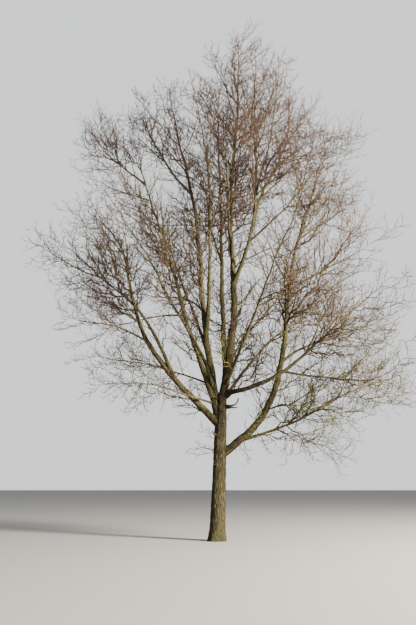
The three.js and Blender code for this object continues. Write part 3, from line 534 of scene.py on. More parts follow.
class Limb:
    """A limb: its named values, the source's curve, and the dressed path that strays from it a little."""

    def __init__(self, name, owner, seed, row, limbs):
        self.name = name
        self.owner = owner
        self.seed = seed
        for column, value in zip(COLUMNS, row):
            setattr(self, column, value)
        parent = limbs.get(self.parent)
        start = parent.centre(self.at) if parent else trunk_point(self.at)
        self.ways = self._directions()
        self.points = self._grown_from(start)
        self.shares = np.linspace(0, 1, max(PATH_LEAST_STEPS, round(self.length / PATH_STEP)) + 1)
        shift = parent.place(self.at) - start if parent else np.zeros(3)
        fade = 1 - smooth(self.shares * self.length / SHIFT_FADE)
        self.path = along(self.points, self.shares) + shift * fade[:, None] + self._stray()

    def _directions(self):
        s = (np.arange(STEPS) + 0.5) / STEPS
        early = self.leave + (self.climb - self.leave) * smooth(s / self.knee)
        late = self.climb + (self.tip - self.climb) * smooth((s - self.knee) / (1 - self.knee))
        free = np.minimum(1, s * WANDER_FREE)
        rise_wave = WANDER_RISE_WAVES * s + chance(self.seed, DRAW_RISE)
        heading_wave = WANDER_HEADING_WAVES * s + chance(self.seed, DRAW_HEADING)
        rise = np.where(s < self.knee, early, late)
        rise = rise + WANDER_RISE * free * np.sin(2 * np.pi * rise_wave)
        heading = self.heading + self.swing * s
        heading = heading + WANDER_HEADING * free * np.sin(2 * np.pi * heading_wave)
        ways = heading_vector(heading, rise)
        return np.vstack([ways, ways[-1:]])

    def _grown_from(self, start):
        """The limb's points, where each step leans a little more to the front or back near the middle."""
        points = [start]
        for way in self.ways[:STEPS]:
            way[1] *= 1 + DEPTH_GAIN / np.cosh(points[-1][1] / DEPTH_FADE) ** 2
            points.append(points[-1] + way * self.length / STEPS)
        self.ways[STEPS] = self.ways[STEPS - 1]
        return np.array(points)

    def _stray(self):
        """How far the dressed limb strays from its curve, in two slow waves to each side."""
        s = self.shares
        free = smooth(s * self.length / STRAY_FREE)
        thin = smooth((s - self.bare) / STRAY_THIN_FADE)
        reach = free * (STRAY_SHARE * self.radius_at(s) + STRAY_THIN * thin)
        sides = across(unit(np.gradient(along(self.points, s), axis=0)))
        out = 0
        for n, side in enumerate(sides):
            swing = 0
            for m, (wave, size) in enumerate(STRAY_WAVES):
                turns = s * self.length / wave + chance(self.seed, DRAW_STRAY + 2 * n + m)
                swing = swing + size * np.sin(2 * np.pi * turns)
            out = out + side * (reach * swing)[:, None]
        return out

    def centre(self, s):
        """The middle of the CAD limb: its curve along the bough, straight pieces in the mass."""
        if s <= self.bare:
            return along(self.points, s)
        count = max(STEM_LEAST_SEGMENTS, int((1 - self.bare) * self.length / STEM_SEGMENT + 0.5))
        x = (s - self.bare) / (1 - self.bare) * count
        i = min(count - 1, int(x))
        ends = along(self.points, self.bare + (1 - self.bare) * np.array([i, i + 1]) / count)
        return ends[0] + (ends[1] - ends[0]) * (x - i)

    def place(self, s):
        """The point of the dressed limb at a share of its length."""
        return along(self.path, s)

    def way(self, s):
        return unit(along(self.ways, s))

    def radius_at(self, s):
        swell = 0 if self.name == "leader" else SWELL
        body = TIP_RADIUS + (self.radius - TIP_RADIUS) * (1 - np.asarray(s)) ** TAPER
        return body * (1 + swell * np.exp(-np.asarray(s) * self.length / SWELL_LENGTH))

    def skin_radius(self):
        """The dressed limb's radius along its path, drawn out fine at the tip."""
        left = (1 - self.shares) * self.length
        return self.radius_at(self.shares) * (END_GIRTH + (1 - END_GIRTH) * smooth(left / END_TAPER))


def grow_limbs():
    """Every limb, then the arms, which belong to the mass of the limb that they leave."""
    limbs = {}
    for i, (name, row) in enumerate(LIMBS.items()):
        limbs[name] = Limb(name, name, i + 1, row, limbs)
    for i, row in enumerate(ARMS):
        name = f"arm_{i + 1}"
        limbs[name] = Limb(name, row[0], ARM_FIRST_SEED + i, (*row, 0, ARM_REACH), limbs)
    return limbs


TREE = grow_limbs()
NAMES = list(LIMBS)
OWNERS = np.array([NAMES.index(limb.owner) for limb in TREE.values()])


def gaps_to_limbs(points):
    """The distance from each point to each limb's curve: one row a point, one column a limb."""
    columns = []
    for limb in TREE.values():
        start, step = limb.points[:-1], np.diff(limb.points, axis=0)
        offset = points[:, None] - start[None]
        t = np.clip(np.sum(offset * step, axis=-1) / np.sum(step * step, axis=-1), 0, 1)
        columns.append(np.min(np.linalg.norm(offset - t[..., None] * step, axis=-1), axis=1))
    return np.stack(columns, axis=1)


def keeps_to_its_space(points, limb):
    """True for each branch whose tested points are nearer its own limb than any other, by the margin."""
    n, count = len(points), SPACE_TESTS
    shares = (np.arange(count) + 1) / count
    tested = np.stack([on_each_line(points, share) for share in shares], axis=1).reshape(-1, 3)
    gap = gaps_to_limbs(tested)
    own = OWNERS == NAMES.index(limb.owner)
    radius = np.array([other.radius for other in TREE.values()])
    others = (gap - radius)[:, ~own].min(axis=1)
    needed = np.minimum(gap[:, own].min(axis=1) + SPACE_MARGIN, SPACE_CLEAR)
    return (others >= needed).reshape(n, count).all(axis=1)


def on_each_line(points, share):
    """The point of each polyline (n, p, 3) at a share, or at one share each."""
    p = points.shape[1]
    x = np.broadcast_to(np.clip(share, 0, 1) * (p - 1), (len(points),))
    i = np.minimum(x.astype(int), p - 2)
    t = (x - i)[:, None]
    rows = np.arange(len(points))
    return points[rows, i] * (1 - t) + points[rows, i + 1] * t


@dataclass
class Growth:
    """Many like twigs as arrays: their points (n, p, 3), and a value each."""
    points: np.ndarray
    radius: np.ndarray
    length: np.ndarray
    seed: np.ndarray
    limb: np.ndarray
    tint: np.ndarray

    def pick(self, chosen):
        return Growth(*(getattr(self, name)[chosen] for name in self.__dataclass_fields__))

    def within(self, low, high):
        """Only the twigs that stay in a box."""
        inside = np.all((self.points > low) & (self.points < high), axis=(1, 2))
        return self.pick(inside)


def spray_tints(roots, seed):
    """The tint that each spray takes: redder high up and outside, lichen on the low right, grey within."""
    high, from_height, height_fade = RED_HIGH
    outside, out_fade = RED_OUTSIDE
    low_from, low_fade = LICHEN_BELOW
    right_from, right_fade = LICHEN_RIGHT_OF
    height = roots[:, 2] / TINT_HEIGHT
    out = np.hypot(roots[:, 0] - TINT_MIDDLE, roots[:, 1])
    roll = chance(seed, DRAW_TINT)
    red = RED_LEAST + high * smooth((height - from_height) / height_fade) + outside * smooth(out / out_fade)
    low = smooth((low_from - roots[:, 2]) / low_fade)
    lichen = LICHEN_MOST * low * smooth((roots[:, 0] - right_from) / right_fade)
    number = {tint: n for n, tint in enumerate(TINTS)}
    dry = np.where(roll < red + BROWN_SHARE, number["brown"], number["grey"])
    tint = np.where(roll < red, number["red"], dry)
    return np.where(chance(seed, DRAW_LICHEN) < lichen, number["lichen"], tint)


def curve_points(root, middle, end, count, seed, wobble):
    """Smooth curves from root to end that lean to the middle point, with a small zigzag."""
    t = np.linspace(0, 1, count)[None, :, None]
    curve = (1 - t) ** 2 * root[:, None] + 2 * t * (1 - t) * middle[:, None] + t ** 2 * end[:, None]
    a, b = across(unit(end - root))
    length = np.linalg.norm(end - root, axis=-1)[:, None, None]
    k = np.arange(count)
    for n, side in enumerate((a, b)):
        noise = chance(seed[:, None] + ZIGZAG_SEED_STEP * k, DRAW_ZIGZAG + n) - 0.5
        noise[:, 0] = 0
        curve = curve + side[:, None] * (noise[..., None] * wobble * length)
    return curve


def mass_side_branches(limb):
    """The side branches in a limb's mass by the source's rule, every one of its full count."""
    count = int((1 - limb.bare) * limb.length / SIDE_PITCH + 0.5)
    k = np.arange(count)
    u = (k + 0.5) / count
    s = limb.bare + (1 - limb.bare) * (SIDE_PLACES[0] + SIDE_PLACES[1] * u)
    reach = limb.reach * np.where(k % STRONG_EVERY == 0, STRONG_REACH, WEAK_REACH) * (1 - SIDE_SHORTEN * u)
    return side_branches(limb, s, reach, limb.seed * SEEDS_PER_LIMB + k, SIDE_TURN * k)


def bough_side_branches(limb):
    """More of them on the bare bough, further apart and shorter, away from its root."""
    first = BARE_FIRST / limb.length
    count = max(0, int((limb.bare - first) * limb.length / BARE_PITCH))
    k = np.arange(count)
    s = first + (limb.bare - first) * (k + 0.5) / max(count, 1)
    seed = limb.seed * SEEDS_PER_LIMB + BARE_FIRST_SEED + k
    reach = BARE_REACH * limb.reach * drawn(seed, DRAW_BARE_REACH, *BARE_VARY)
    return side_branches(limb, s, reach, seed, SIDE_TURN * (k + 0.5))


def side_branches(limb, s, reach, seed, turn):
    """Side branches at shares of a limb, longer to the outside of the tree than to its middle."""
    count = len(s)
    turn = turn + varied(seed, DRAW_TURN, SIDE_TURN_VARY)
    spread = SIDE_SPREAD + varied(seed, DRAW_SPREAD, SIDE_SPREAD_VARY)
    way = offshoot(limb.way(s), turn, spread, 0)
    onward = offshoot(way, 360 * chance(seed, DRAW_BEND), np.full(count, SIDE_BEND), SIDE_LIFT)
    root = limb.place(s)
    out = unit((limb.place(s) - trunk_point(TRUNK_TOP)) * np.array([1, 1, 0]))
    outward = SIDE_OUTWARD[0] + SIDE_OUTWARD[1] * np.sum(way * out, axis=-1)
    full = reach * drawn(seed, DRAW_LENGTH, *SIDE_LENGTH) * outward
    length = np.zeros(count)
    points = np.zeros((count, 3, 3))
    for share in SIDE_SHARES:
        tried = share * np.maximum(SIDE_LEAST, full)
        middle = root + way * (tried * SIDE_KNEE)[:, None]
        end = middle + onward * (tried * (1 - SIDE_KNEE))[:, None]
        candidate = np.stack([root, middle, end], axis=1)
        taken = (length == 0) & keeps_to_its_space(candidate, limb)
        length[taken] = tried[taken]
        points[taken] = candidate[taken]
    kept = length > 0
    slender = SIDE_SLENDER[0] + SIDE_SLENDER[1] * length
    radius = np.clip(np.minimum(limb.radius_at(s) * SIDE_RADIUS_SHARE, slender), *SIDE_RADIUS)
    return points[kept], radius[kept], length[kept], seed[kept]


def sprouts():
    """The sprouts near the fork, from the middle of the wood that they grow on."""
    rows = []
    for number, (parent, at, heading, rise, length) in enumerate(SPROUTS):
        on_trunk = parent == "trunk"
        root = trunk_point(at) if on_trunk else TREE[parent].place(at)
        girth = between(TRUNK_RADIUS, at) if on_trunk else TREE[parent].radius_at(at)
        way = heading_vector(heading, rise)
        middle = root + way * (girth + length * SIDE_KNEE)
        onward = offshoot(way, 360 * chance(number, DRAW_BEND), SPROUT_BEND, SPROUT_LIFT)
        rows.append((root, middle, middle + onward * length * (1 - SIDE_KNEE)))
    lengths = np.array([row[-1] for row in SPROUTS])
    radius = SPROUT_RADIUS[0] + SPROUT_RADIUS[1] * lengths
    return np.array(rows), radius, lengths, SPROUT_FIRST_SEED + np.arange(len(lengths))


def side_growth():
    """All side branches and sprouts, as curves that sag a little on the drooping limbs."""
    rows = []
    for index, limb in zip(OWNERS, TREE.values()):
        for points, radius, length, seed in (mass_side_branches(limb), bough_side_branches(limb)):
            rows.append((points, radius, length, seed, np.full(len(seed), index)))
    points, radius, length, seed = sprouts()
    rows.append((points, radius, length, seed, np.full(len(seed), NAMES.index(SPROUT_MASS))))
    points, radius, length, seed, limb = (np.concatenate(column) for column in zip(*rows))
    curve = curve_points(points[:, 0], points[:, 1], points[:, 2], SIDE_POINTS, seed, SIDE_ZIGZAG)
    t = np.linspace(0, 1, SIDE_POINTS)
    droops = np.isin(limb, [NAMES.index(name) for name in DROOPING])
    sag = np.where(droops, SIDE_SAG, SIDE_RISE)[:, None] * t * t * (SAG_SHAPE - t) * length[:, None]
    curve[..., 2] += sag
    return Growth(curve, radius, length, seed, limb, spray_tints(points[:, 0], seed))


def spray_density(roots):
    """How thickly the branchlets stand: thin half way up, where limbs stand behind one another."""
    level = roots[:, 2] + DENSITY_LEAN * roots[:, 0]
    above = smooth((level - DENSER_ABOVE) / DENSITY_FADE)
    below = smooth((DENSER_BELOW - level) / DENSITY_FADE)
    return DENSITY_LEAST + DENSITY_ABOVE * above + DENSITY_BELOW * below


def grow_on(parents, level, density=1.0):
    """The next, finer level of twigs on their parents."""
    count = np.clip(np.round(parents.length / level.pitch * density), 1, level.most).astype(int)
    parent = np.repeat(np.arange(len(count)), count)
    j = np.arange(count.sum()) - np.repeat(np.cumsum(count) - count, count)
    by_parent, by_number, shift, seeds = TWIG_SEEDS
    seed = (parents.seed[parent] * by_parent + j * by_number + shift) % seeds
    first, last = level.span
    place = j + TWIG_PLACES[0] + TWIG_PLACES[1] * chance(seed, DRAW_PLACE)
    q = first + (last - first) * place / count[parent]
    stems = parents.points[parent]
    root = on_each_line(stems, q)
    way = unit(on_each_line(stems, q + TWIG_WAY_STEP) - on_each_line(stems, q - TWIG_WAY_STEP))
    turn = TWIG_TURN * j + TWIG_TURN_BY_PARENT * parents.seed[parent]
    turn = turn + varied(seed, DRAW_TWIG_TURN, TWIG_TURN_VARY)
    spread = level.spread * drawn(seed, DRAW_TWIG_SPREAD, *TWIG_SPREADS)
    onward = offshoot(way, turn, spread, level.lift)
    length = parents.length[parent] * level.share * (1 - level.shorten * q)
    length = length * drawn(seed, DRAW_TWIG_LENGTH, *TWIG_LENGTHS)
    points = [root]
    for m in range(1, level.points):
        wobble = np.stack([varied(seed, DRAW_WOBBLE + 3 * m + n, 1) for n in range(3)], axis=-1)
        wobble[:, 2] += level.curl * m / level.points
        onward = unit(onward + TWIG_WOBBLE * wobble)
        points.append(points[-1] + onward * (length / (level.points - 1))[:, None])
    radius = np.clip(parents.radius[parent] * (1 - TWIG_THIN * q) * level.radius_share, *level.radius)
    points = np.stack(points, axis=1)
    return Growth(points, radius, length, seed, parents.limb[parent], parents.tint[parent])


def placed(name, data):
    """A new object in the scene."""
    obj = bpy.data.objects.new(name, data)
    bpy.context.scene.collection.objects.link(obj)
    return obj


def mesh_from_arrays(name, vertices, faces):
    """A mesh from a vertex array and a list of arrays of faces, each with one number of corners."""
    mesh = bpy.data.meshes.new(name)
    corners = np.concatenate([part.ravel() for part in faces]).astype(np.int32)
    sizes = np.concatenate([np.full(len(part), part.shape[1]) for part in faces])
    mesh.vertices.add(len(vertices))
    mesh.vertices.foreach_set("co", np.ascontiguousarray(vertices, np.float32).ravel())
    mesh.loops.add(len(corners))
    mesh.loops.foreach_set("vertex_index", corners)
    mesh.polygons.add(len(sizes))
    mesh.polygons.foreach_set("loop_start", (np.cumsum(sizes) - sizes).astype(np.int32))
    mesh.update(calc_edges=True)
    mesh.polygons.foreach_set("use_smooth", np.ones(len(sizes), bool))
    if mesh.validate():
        raise RuntimeError(f"{name} has faces that are not valid")
    return mesh


def tube_rings(points, radii, sides):
    """Rings of points square to each path (n, p, 3), with the frame carried on from ring to ring."""
    ways = unit(np.gradient(points, axis=1))
    a = across(ways[:, 0])[0]
    angle = 2 * np.pi * np.arange(sides) / sides
    rings = []
    for r in range(points.shape[1]):
        a = unit(a - ways[:, r] * np.sum(a * ways[:, r], axis=-1, keepdims=True))
        b = np.cross(ways[:, r], a)
        circle = a[:, None] * np.cos(angle)[:, None] + b[:, None] * np.sin(angle)[:, None]
        rings.append(points[:, r, None] + circle * radii[:, r, None, None])
    return np.stack(rings, axis=1)


def ring_quads(count, sides):
    """For each ring but the last, the faces to the next ring."""
    k = np.arange(sides)
    turned = (k + 1) % sides
    strip = np.stack([k, turned, sides + turned, sides + k], axis=1)
    return [r * sides + strip for r in range(count - 1)]


def spikes(points, radii, sides):
    """Vertices and faces of closed tapering tubes that end in a point."""
    n, p = points.shape[:2]
    rings = tube_rings(points, radii, sides)[:, :-1].reshape(n, -1, 3)
    vertices = np.concatenate([rings, points[:, -1:]], axis=1)
    k = np.arange(sides)
    last = (p - 2) * sides
    tip = np.stack([last + k, last + (k + 1) % sides, np.full(sides, last + sides)], axis=1)
    base = k[::-1][None]
    offsets = (np.arange(n) * vertices.shape[1])[:, None, None]
    parts = (*ring_quads(p - 1, sides), tip, base)
    faces = [(offsets + part[None]).reshape(-1, part.shape[1]) for part in parts]
    return vertices.reshape(-1, 3), faces


def growth_mesh(name, growth, sides, taper):
    """One mesh of all the twigs of a growth."""
    q = np.linspace(0, 1, growth.points.shape[1])
    radii = growth.radius[:, None] * (1 - taper * q)
    return mesh_from_arrays(name, *spikes(growth.points, radii, sides))


def ring_skin(rings):
    """Vertices and faces of one tube with both ends closed by a face."""
    count, sides = rings.shape[:2]
    k = np.arange(sides)
    quads = np.concatenate(ring_quads(count, sides))
    return rings.reshape(-1, 3), [quads, k[::-1][None], ((count - 1) * sides + k)[None]]


def joined_parts(parts):
    """Several (vertices, faces) as one."""
    vertices, faces, offset = [], [], 0
    for part_vertices, part_faces in parts:
        vertices.append(part_vertices)
        faces.extend(face + offset for face in part_faces)
        offset += len(part_vertices)
    return np.concatenate(vertices), faces


class Wire:
    """A node socket that takes part in sums; each operation adds a Math node."""

    def __init__(self, graph, socket):
        self.graph = graph
        self.socket = socket

    def _math(self, operation, *values):
        return self.graph.node("ShaderNodeMath", {"operation": operation}, dict(enumerate(values)))

    def other(self, name):
        """Another output of the same node."""
        return Wire(self.graph, self.socket.node.outputs[name])

    def __add__(self, value):
        return self._math("ADD", self, value)

    def __sub__(self, value):
        return self._math("SUBTRACT", self, value)

    def __rsub__(self, value):
        return self._math("SUBTRACT", value, self)

    def __mul__(self, value):
        return self._math("MULTIPLY", self, value)

    def __rtruediv__(self, value):
        return self._math("DIVIDE", value, self)

    def step(self, start, end):
        """0 below start, 1 above end, smooth between."""
        return self.graph.node("ShaderNodeMapRange", {"interpolation_type": "SMOOTHSTEP"},
                               {"Value": self, "From Min": start, "From Max": end})

    __radd__ = __add__


class Graph:
    """Adds nodes to a tree and links them."""

    def __init__(self, tree):
        self.tree = tree
        tree.nodes.clear()

    def link(self, value, socket):
        if isinstance(value, Wire):
            self.tree.links.new(value.socket, socket)
        else:
            socket.default_value = value

    def node(self, kind, settings=None, inputs=None, output=0):
        """A node of a type, with its settings first and then its sockets' values or links."""
        node = self.tree.nodes.new(kind)
        for key, value in (settings or {}).items():
            setattr(node, key, value)
        for key, value in (inputs or {}).items():
            self.link(value, node.inputs[key])
        return Wire(self, node.outputs[output]) if node.outputs else node

    def vector(self, operation, a, b):
        return self.node("ShaderNodeVectorMath", {"operation": operation}, {0: a, 1: b})

    def scaled(self, vector, factor):
        return self.node("ShaderNodeVectorMath", {"operation": "SCALE"}, {0: vector, "Scale": factor})

    def colour_mix(self, share, a, b):
        return self.node("ShaderNodeMix", {"data_type": "RGBA"}, {0: share, 6: a, 7: b}, output=2)

    def noise(self, vector, scale, detail=3.0, roughness=0.55):
        return self.node("ShaderNodeTexNoise", None,
                         {"Vector": vector, "Scale": scale, "Detail": detail, "Roughness": roughness})


class Finish(Graph):
    """A material and its shader graph."""

    def __init__(self, name):
        self.material = bpy.data.materials.new(name)
        self.material.use_nodes = True
        super().__init__(self.material.node_tree)

    def place(self):
        return self.node("ShaderNodeTexCoord", output="Object")

    def attribute(self, name):
        return self.node("ShaderNodeAttribute", {"attribute_name": name}, output="Vector")

    def height(self):
        return self.node("ShaderNodeSeparateXYZ", None, {0: self.place()}, output="Z")

    def bump(self, height, distance):
        return self.node("ShaderNodeBump", None, {"Strength": 1.0, "Distance": distance, "Height": height})

    def band(self, start, full, fading, end):
        """1 between two heights, with a smooth change to 0 below and above."""
        height = self.height()
        return height.step(start, full) * (1 - height.step(fading, end))

    def done(self, **inputs):
        """Ends in a Principled shader with little shine, whose sockets take the values given."""
        named = {key.replace("_", " ").title(): value for key, value in inputs.items()}
        named["Specular IOR Level"] = SHINE
        shader = self.node("ShaderNodeBsdfPrincipled", None, named)
        self.node("ShaderNodeOutputMaterial", None, {"Surface": shader})
        return self.material


def rgb(colour):
    return (*colour, 1.0)


def shaded(colour, share):
    """A colour made lighter or darker."""
    return rgb([min(1, share * value) for value in colour])


def fissure_pattern(graph, coordinate, width, stretch):
    """0 in the cracks of the bark and 1 on its ridges, with cracks that run along the limb."""
    long = graph.scaled(graph.vector("MULTIPLY", coordinate, (1.0, 1.0, stretch)), 1 / width)
    twist = graph.node("ShaderNodeTexNoise", None, {"Vector": long, "Scale": 0.7, "Detail": 2.0},
                       output="Color")
    bent = graph.vector("ADD", long, graph.scaled(twist, CRACK_TWIST))
    edge = graph.node("ShaderNodeTexVoronoi", {"feature": "DISTANCE_TO_EDGE"},
                      {"Vector": bent, "Scale": 1.0})
    return edge.step(*CRACK_EDGE)


def trunk_bark_material(colours):
    finish = Finish("trunk_bark_finish")
    bark = finish.attribute("bark")
    place = finish.place()
    ridges = fissure_pattern(finish, bark, width=0.028, stretch=0.11)
    fine = fissure_pattern(finish, bark, width=0.012, stretch=0.15)
    mottle = finish.noise(place, scale=5.0, detail=5.0, roughness=0.65)
    grain = finish.noise(bark, scale=60.0, detail=4.0, roughness=0.7)
    ridge_colour = finish.colour_mix(mottle.step(0.35, 0.68), rgb(colours.bark), rgb(colours.bark_green))
    ridge_colour = finish.colour_mix(fine * 0.45 + grain * 0.3, rgb(colours.bark_dark), ridge_colour)
    colour = finish.colour_mix(ridges, rgb(colours.fissure), ridge_colour)
    lichen = finish.noise(place, scale=9.0, detail=5.0, roughness=0.7)
    spots = lichen.step(0.50, 0.62) * (finish.band(*LICHEN_AT_FORK) * 0.55 + 0.05)
    colour = finish.colour_mix(spots * ridges, colour, rgb(colours.lichen))
    damp = (1 - finish.height().step(*DAMP_FOOT)) * finish.noise(place, scale=7.0).step(0.3, 0.6)
    colour = finish.colour_mix(damp * 0.55, colour, rgb(colours.moss))
    rough = 0.96 - ridges * 0.1 + grain * 0.04
    relief = ridges * 0.7 + fine * 0.25 + grain * 0.15
    return finish.done(base_color=colour, roughness=rough, normal=finish.bump(relief, distance=0.012))


def bough_bark_material(colours):
    finish = Finish("bough_bark_finish")
    bark = finish.attribute("bark")
    place = finish.place()
    height = finish.height()
    ridges = fissure_pattern(finish, bark, width=0.020, stretch=0.12)
    mottle = finish.noise(place, scale=4.0, detail=5.0, roughness=0.65)
    grain = finish.noise(bark, scale=70.0, detail=4.0, roughness=0.7)
    skin = finish.colour_mix(mottle.step(0.34, 0.66), rgb(colours.bark), rgb(colours.bark_green))
    skin = finish.colour_mix(height.step(*HIGH_BARK) * 0.85, skin, rgb(colours.bark_high))
    skin = finish.colour_mix(0.35 + grain * 0.65, rgb(colours.bark_dark), skin)
    colour = finish.colour_mix(ridges * 0.75 + 0.25, rgb(colours.fissure), skin)
    lichen = finish.noise(place, scale=8.0, detail=5.0, roughness=0.7).step(0.53, 0.62)
    low = 1 - height.step(*LICHEN_FADES)
    feet = finish.band(*LICHEN_ON_BOUGH_FEET)
    colour = finish.colour_mix(lichen * (0.04 + low * 0.2 + feet * 0.65), colour, rgb(colours.lichen))
    relief = ridges * 0.6 + grain * 0.25
    bump = finish.bump(relief, distance=0.006)
    return finish.done(base_color=colour, roughness=0.94 - ridges * 0.08, normal=bump)


def twig_material(tint, colour):
    """A plain base colour for one tint of twigs, a little lighter and darker in fine grain, with a bump."""
    finish = Finish(f"twig_{tint}")
    place = finish.place()
    grain = finish.noise(place, scale=45.0, detail=3.0, roughness=0.6)
    mixed = finish.colour_mix(grain.step(0.3, 0.7), shaded(colour, 0.78), shaded(colour, 1.25))
    bump = finish.bump(grain, distance=0.0015)
    return finish.done(base_color=mixed, roughness=0.72 + grain * 0.2, normal=bump)


def bud_material(colours):
    finish = Finish("bud_scales")
    scales = finish.noise(finish.place(), scale=180.0, detail=2.0)
    mixed = finish.colour_mix(scales, rgb(colours.bud), shaded(colours.bud, 0.6))
    return finish.done(base_color=mixed, roughness=0.55, normal=finish.bump(scales, distance=0.001))


def floor_material(colours):
    finish = Finish("floor")
    grain = finish.noise(finish.place(), scale=0.6)
    pale = finish.colour_mix(grain, rgb(colours.floor), shaded(colours.floor, 0.97))
    return finish.done(base_color=pale, roughness=0.95)


class NodeTree(Graph):
    """A geometry node tree with named inputs, run on an object and turned into plain mesh."""

    SOCKETS = {"geometry": "NodeSocketGeometry", "float": "NodeSocketFloat", "int": "NodeSocketInt",
               "material": "NodeSocketMaterial"}

    def __init__(self, name, **inputs):
        tree = bpy.data.node_groups.new(name, "GeometryNodeTree")
        super().__init__(tree)
        tree.interface.new_socket("Geometry", in_out="OUTPUT", socket_type=self.SOCKETS["geometry"])
        tree.interface.new_socket("Geometry", in_out="INPUT", socket_type=self.SOCKETS["geometry"])
        for key, kind in inputs.items():
            tree.interface.new_socket(key, in_out="INPUT", socket_type=self.SOCKETS[kind])
        self.group = self.node("NodeGroupInput", output="Geometry")

    def named(self, name, kind="FLOAT"):
        return self.node("GeometryNodeInputNamedAttribute", {"data_type": kind}, {"Name": name})

    def store(self, geometry, name, vector):
        return self.node("GeometryNodeStoreNamedAttribute", {"data_type": "FLOAT_VECTOR", "domain": "POINT"},
                         {"Geometry": geometry, "Name": name, "Value": vector})

    def vector_of(self, x, y, z):
        return self.node("ShaderNodeCombineXYZ", None, {0: x, 1: y, 2: z})

    def parts_of(self, vector):
        x = self.node("ShaderNodeSeparateXYZ", None, {0: vector}, output="X")
        return x, x.other("Y"), x.other("Z")

    def push_out(self, geometry, amount):
        """Moves each point along its normal."""
        normal = self.node("GeometryNodeInputNormal")
        offset = self.scaled(normal, amount)
        return self.node("GeometryNodeSetPosition", None, {"Geometry": geometry, "Offset": offset})

    def done(self, geometry):
        """Ends the tree in smooth shading, Realize Instances and Set Material."""
        geometry = self.node("GeometryNodeSetShadeSmooth", None, {"Geometry": geometry})
        geometry = self.node("GeometryNodeRealizeInstances", None, {"Geometry": geometry})
        geometry = self.node("GeometryNodeSetMaterial", None,
                             {"Geometry": geometry, "Material": self.group.other("Material")})
        self.node("NodeGroupOutput", None, {"Geometry": geometry})
        return self.tree


def run_tree(mesh, tree, name, **values):
    """Runs a geometry node tree on a mesh and returns a plain object with the result."""
    source = placed(name + "_source", mesh)
    modifier = source.modifiers.new("growth", "NODES")
    modifier.node_group = tree
    identifiers = {item.name: item.identifier for item in tree.interface.items_tree
                   if item.item_type == "SOCKET" and item.in_out == "INPUT"}
    for key, value in values.items():
        modifier[identifiers[key]] = value
    result = plain_object(source, name)
    result.data.materials.clear()
    result.data.materials.append(values["Material"])
    return result


def plain_object(source, name):
    """The evaluated mesh of an object as a new plain object; the source is removed."""
    graph = bpy.context.evaluated_depsgraph_get()
    mesh = bpy.data.meshes.new_from_object(source.evaluated_get(graph), depsgraph=graph)
    mesh.name = name
    source_mesh = source.data
    bpy.data.objects.remove(source)
    bpy.data.meshes.remove(source_mesh)
    return placed(name, mesh)


# The inputs of a node tree that adds the bark's relief, with their types.
RELIEF_INPUTS = {"Lumps": "float", "Ridge Depth": "float", "Ridge Width": "float", "Material": "material"}


def relief_values(*values):
    """Values for the relief's inputs, in their order."""
    return dict(zip(RELIEF_INPUTS, values))


def bark_relief(tree, geometry, coordinate):
    """Pushes the skin out and in: broad lumps, and ridges between cracks that run along the wood."""
    lumps = tree.noise(coordinate, scale=5.0, detail=2.0) - 0.5
    ridges = fissure_pattern(tree, coordinate, tree.group.other("Ridge Width"), stretch=0.13)
    amount = lumps * tree.group.other("Lumps") + (ridges - CRACK_SUNK) * tree.group.other("Ridge Depth")
    return tree.push_out(geometry, amount)


def trunk_relief_tree():
    tree = NodeTree("trunk_relief", **RELIEF_INPUTS)
    coordinate = tree.named("bark", "FLOAT_VECTOR")
    return tree.done(bark_relief(tree, tree.group, coordinate))


def limb_skin_tree():
    """A round skin along each path, with the girth stored on it and a bark coordinate left on the mesh."""
    tree = NodeTree("limb_skin", Sides="int", Rings="int", **RELIEF_INPUTS)
    curve = tree.node("GeometryNodeMeshToCurve", None, {"Mesh": tree.group})
    curve = tree.node("GeometryNodeCurveSplineType", {"spline_type": "CATMULL_ROM"}, {"Curve": curve})
    curve = tree.node("GeometryNodeSetSplineResolution", None,
                      {"Geometry": curve, "Resolution": tree.group.other("Rings")})
    profile = tree.node("GeometryNodeCurvePrimitiveCircle", {"mode": "RADIUS"},
                        {"Resolution": tree.group.other("Sides"), "Radius": 1.0})
    profile = tree.store(profile, "round", tree.node("GeometryNodeInputPosition"))
    girth = tree.named("girth")
    skin = tree.node("GeometryNodeCurveToMesh", None,
                     {"Curve": curve, "Profile Curve": profile, "Scale": girth, "Fill Caps": True})
    x, y, _ = tree.parts_of(tree.named("round", "FLOAT_VECTOR"))
    coordinate = tree.vector_of(x * girth + tree.named("shift"), y * girth, tree.named("along"))
    skin = tree.store(skin, "bark", coordinate)
    return tree.done(bark_relief(tree, skin, tree.named("bark", "FLOAT_VECTOR")))


# The small shapes that stand on points: their node, its settings, its socket for the sides and its sizes.
CONE = ("GeometryNodeMeshCone", {"fill_type": "NGON"}, "Vertices",
        {"Radius Top": 0.0, "Radius Bottom": 1.0, "Depth": 1.0})
BUD = ("GeometryNodeMeshUVSphere", {}, "Segments", {"Rings": 2, "Radius": 1.0})


def on_points_tree(name, kind, settings, sides_socket, sizes):
    """A small shape at each point, turned along its way, as long as its reach and as thick as its girth."""
    tree = NodeTree(name, Sides="int", Material="material")
    shape = tree.node(kind, settings, {sides_socket: tree.group.other("Sides"), **sizes})
    turn = tree.node("FunctionNodeAlignRotationToVector", {"axis": "Z"},
                     {"Vector": tree.named("way", "FLOAT_VECTOR")})
    girth = tree.named("girth")
    size = tree.vector_of(girth, girth, tree.named("reach"))
    return tree.done(tree.node("GeometryNodeInstanceOnPoints", None,
                               {"Points": tree.group, "Instance": shape, "Rotation": turn, "Scale": size}))


def add_attribute(mesh, name, values):
    """Stores numbers or vectors on the points of a mesh."""
    values = np.ascontiguousarray(values, np.float32)
    kind, key = ("FLOAT_VECTOR", "vector") if values.ndim == 2 else ("FLOAT", "value")
    mesh.attributes.new(name, kind, "POINT").data.foreach_set(key, values.ravel())


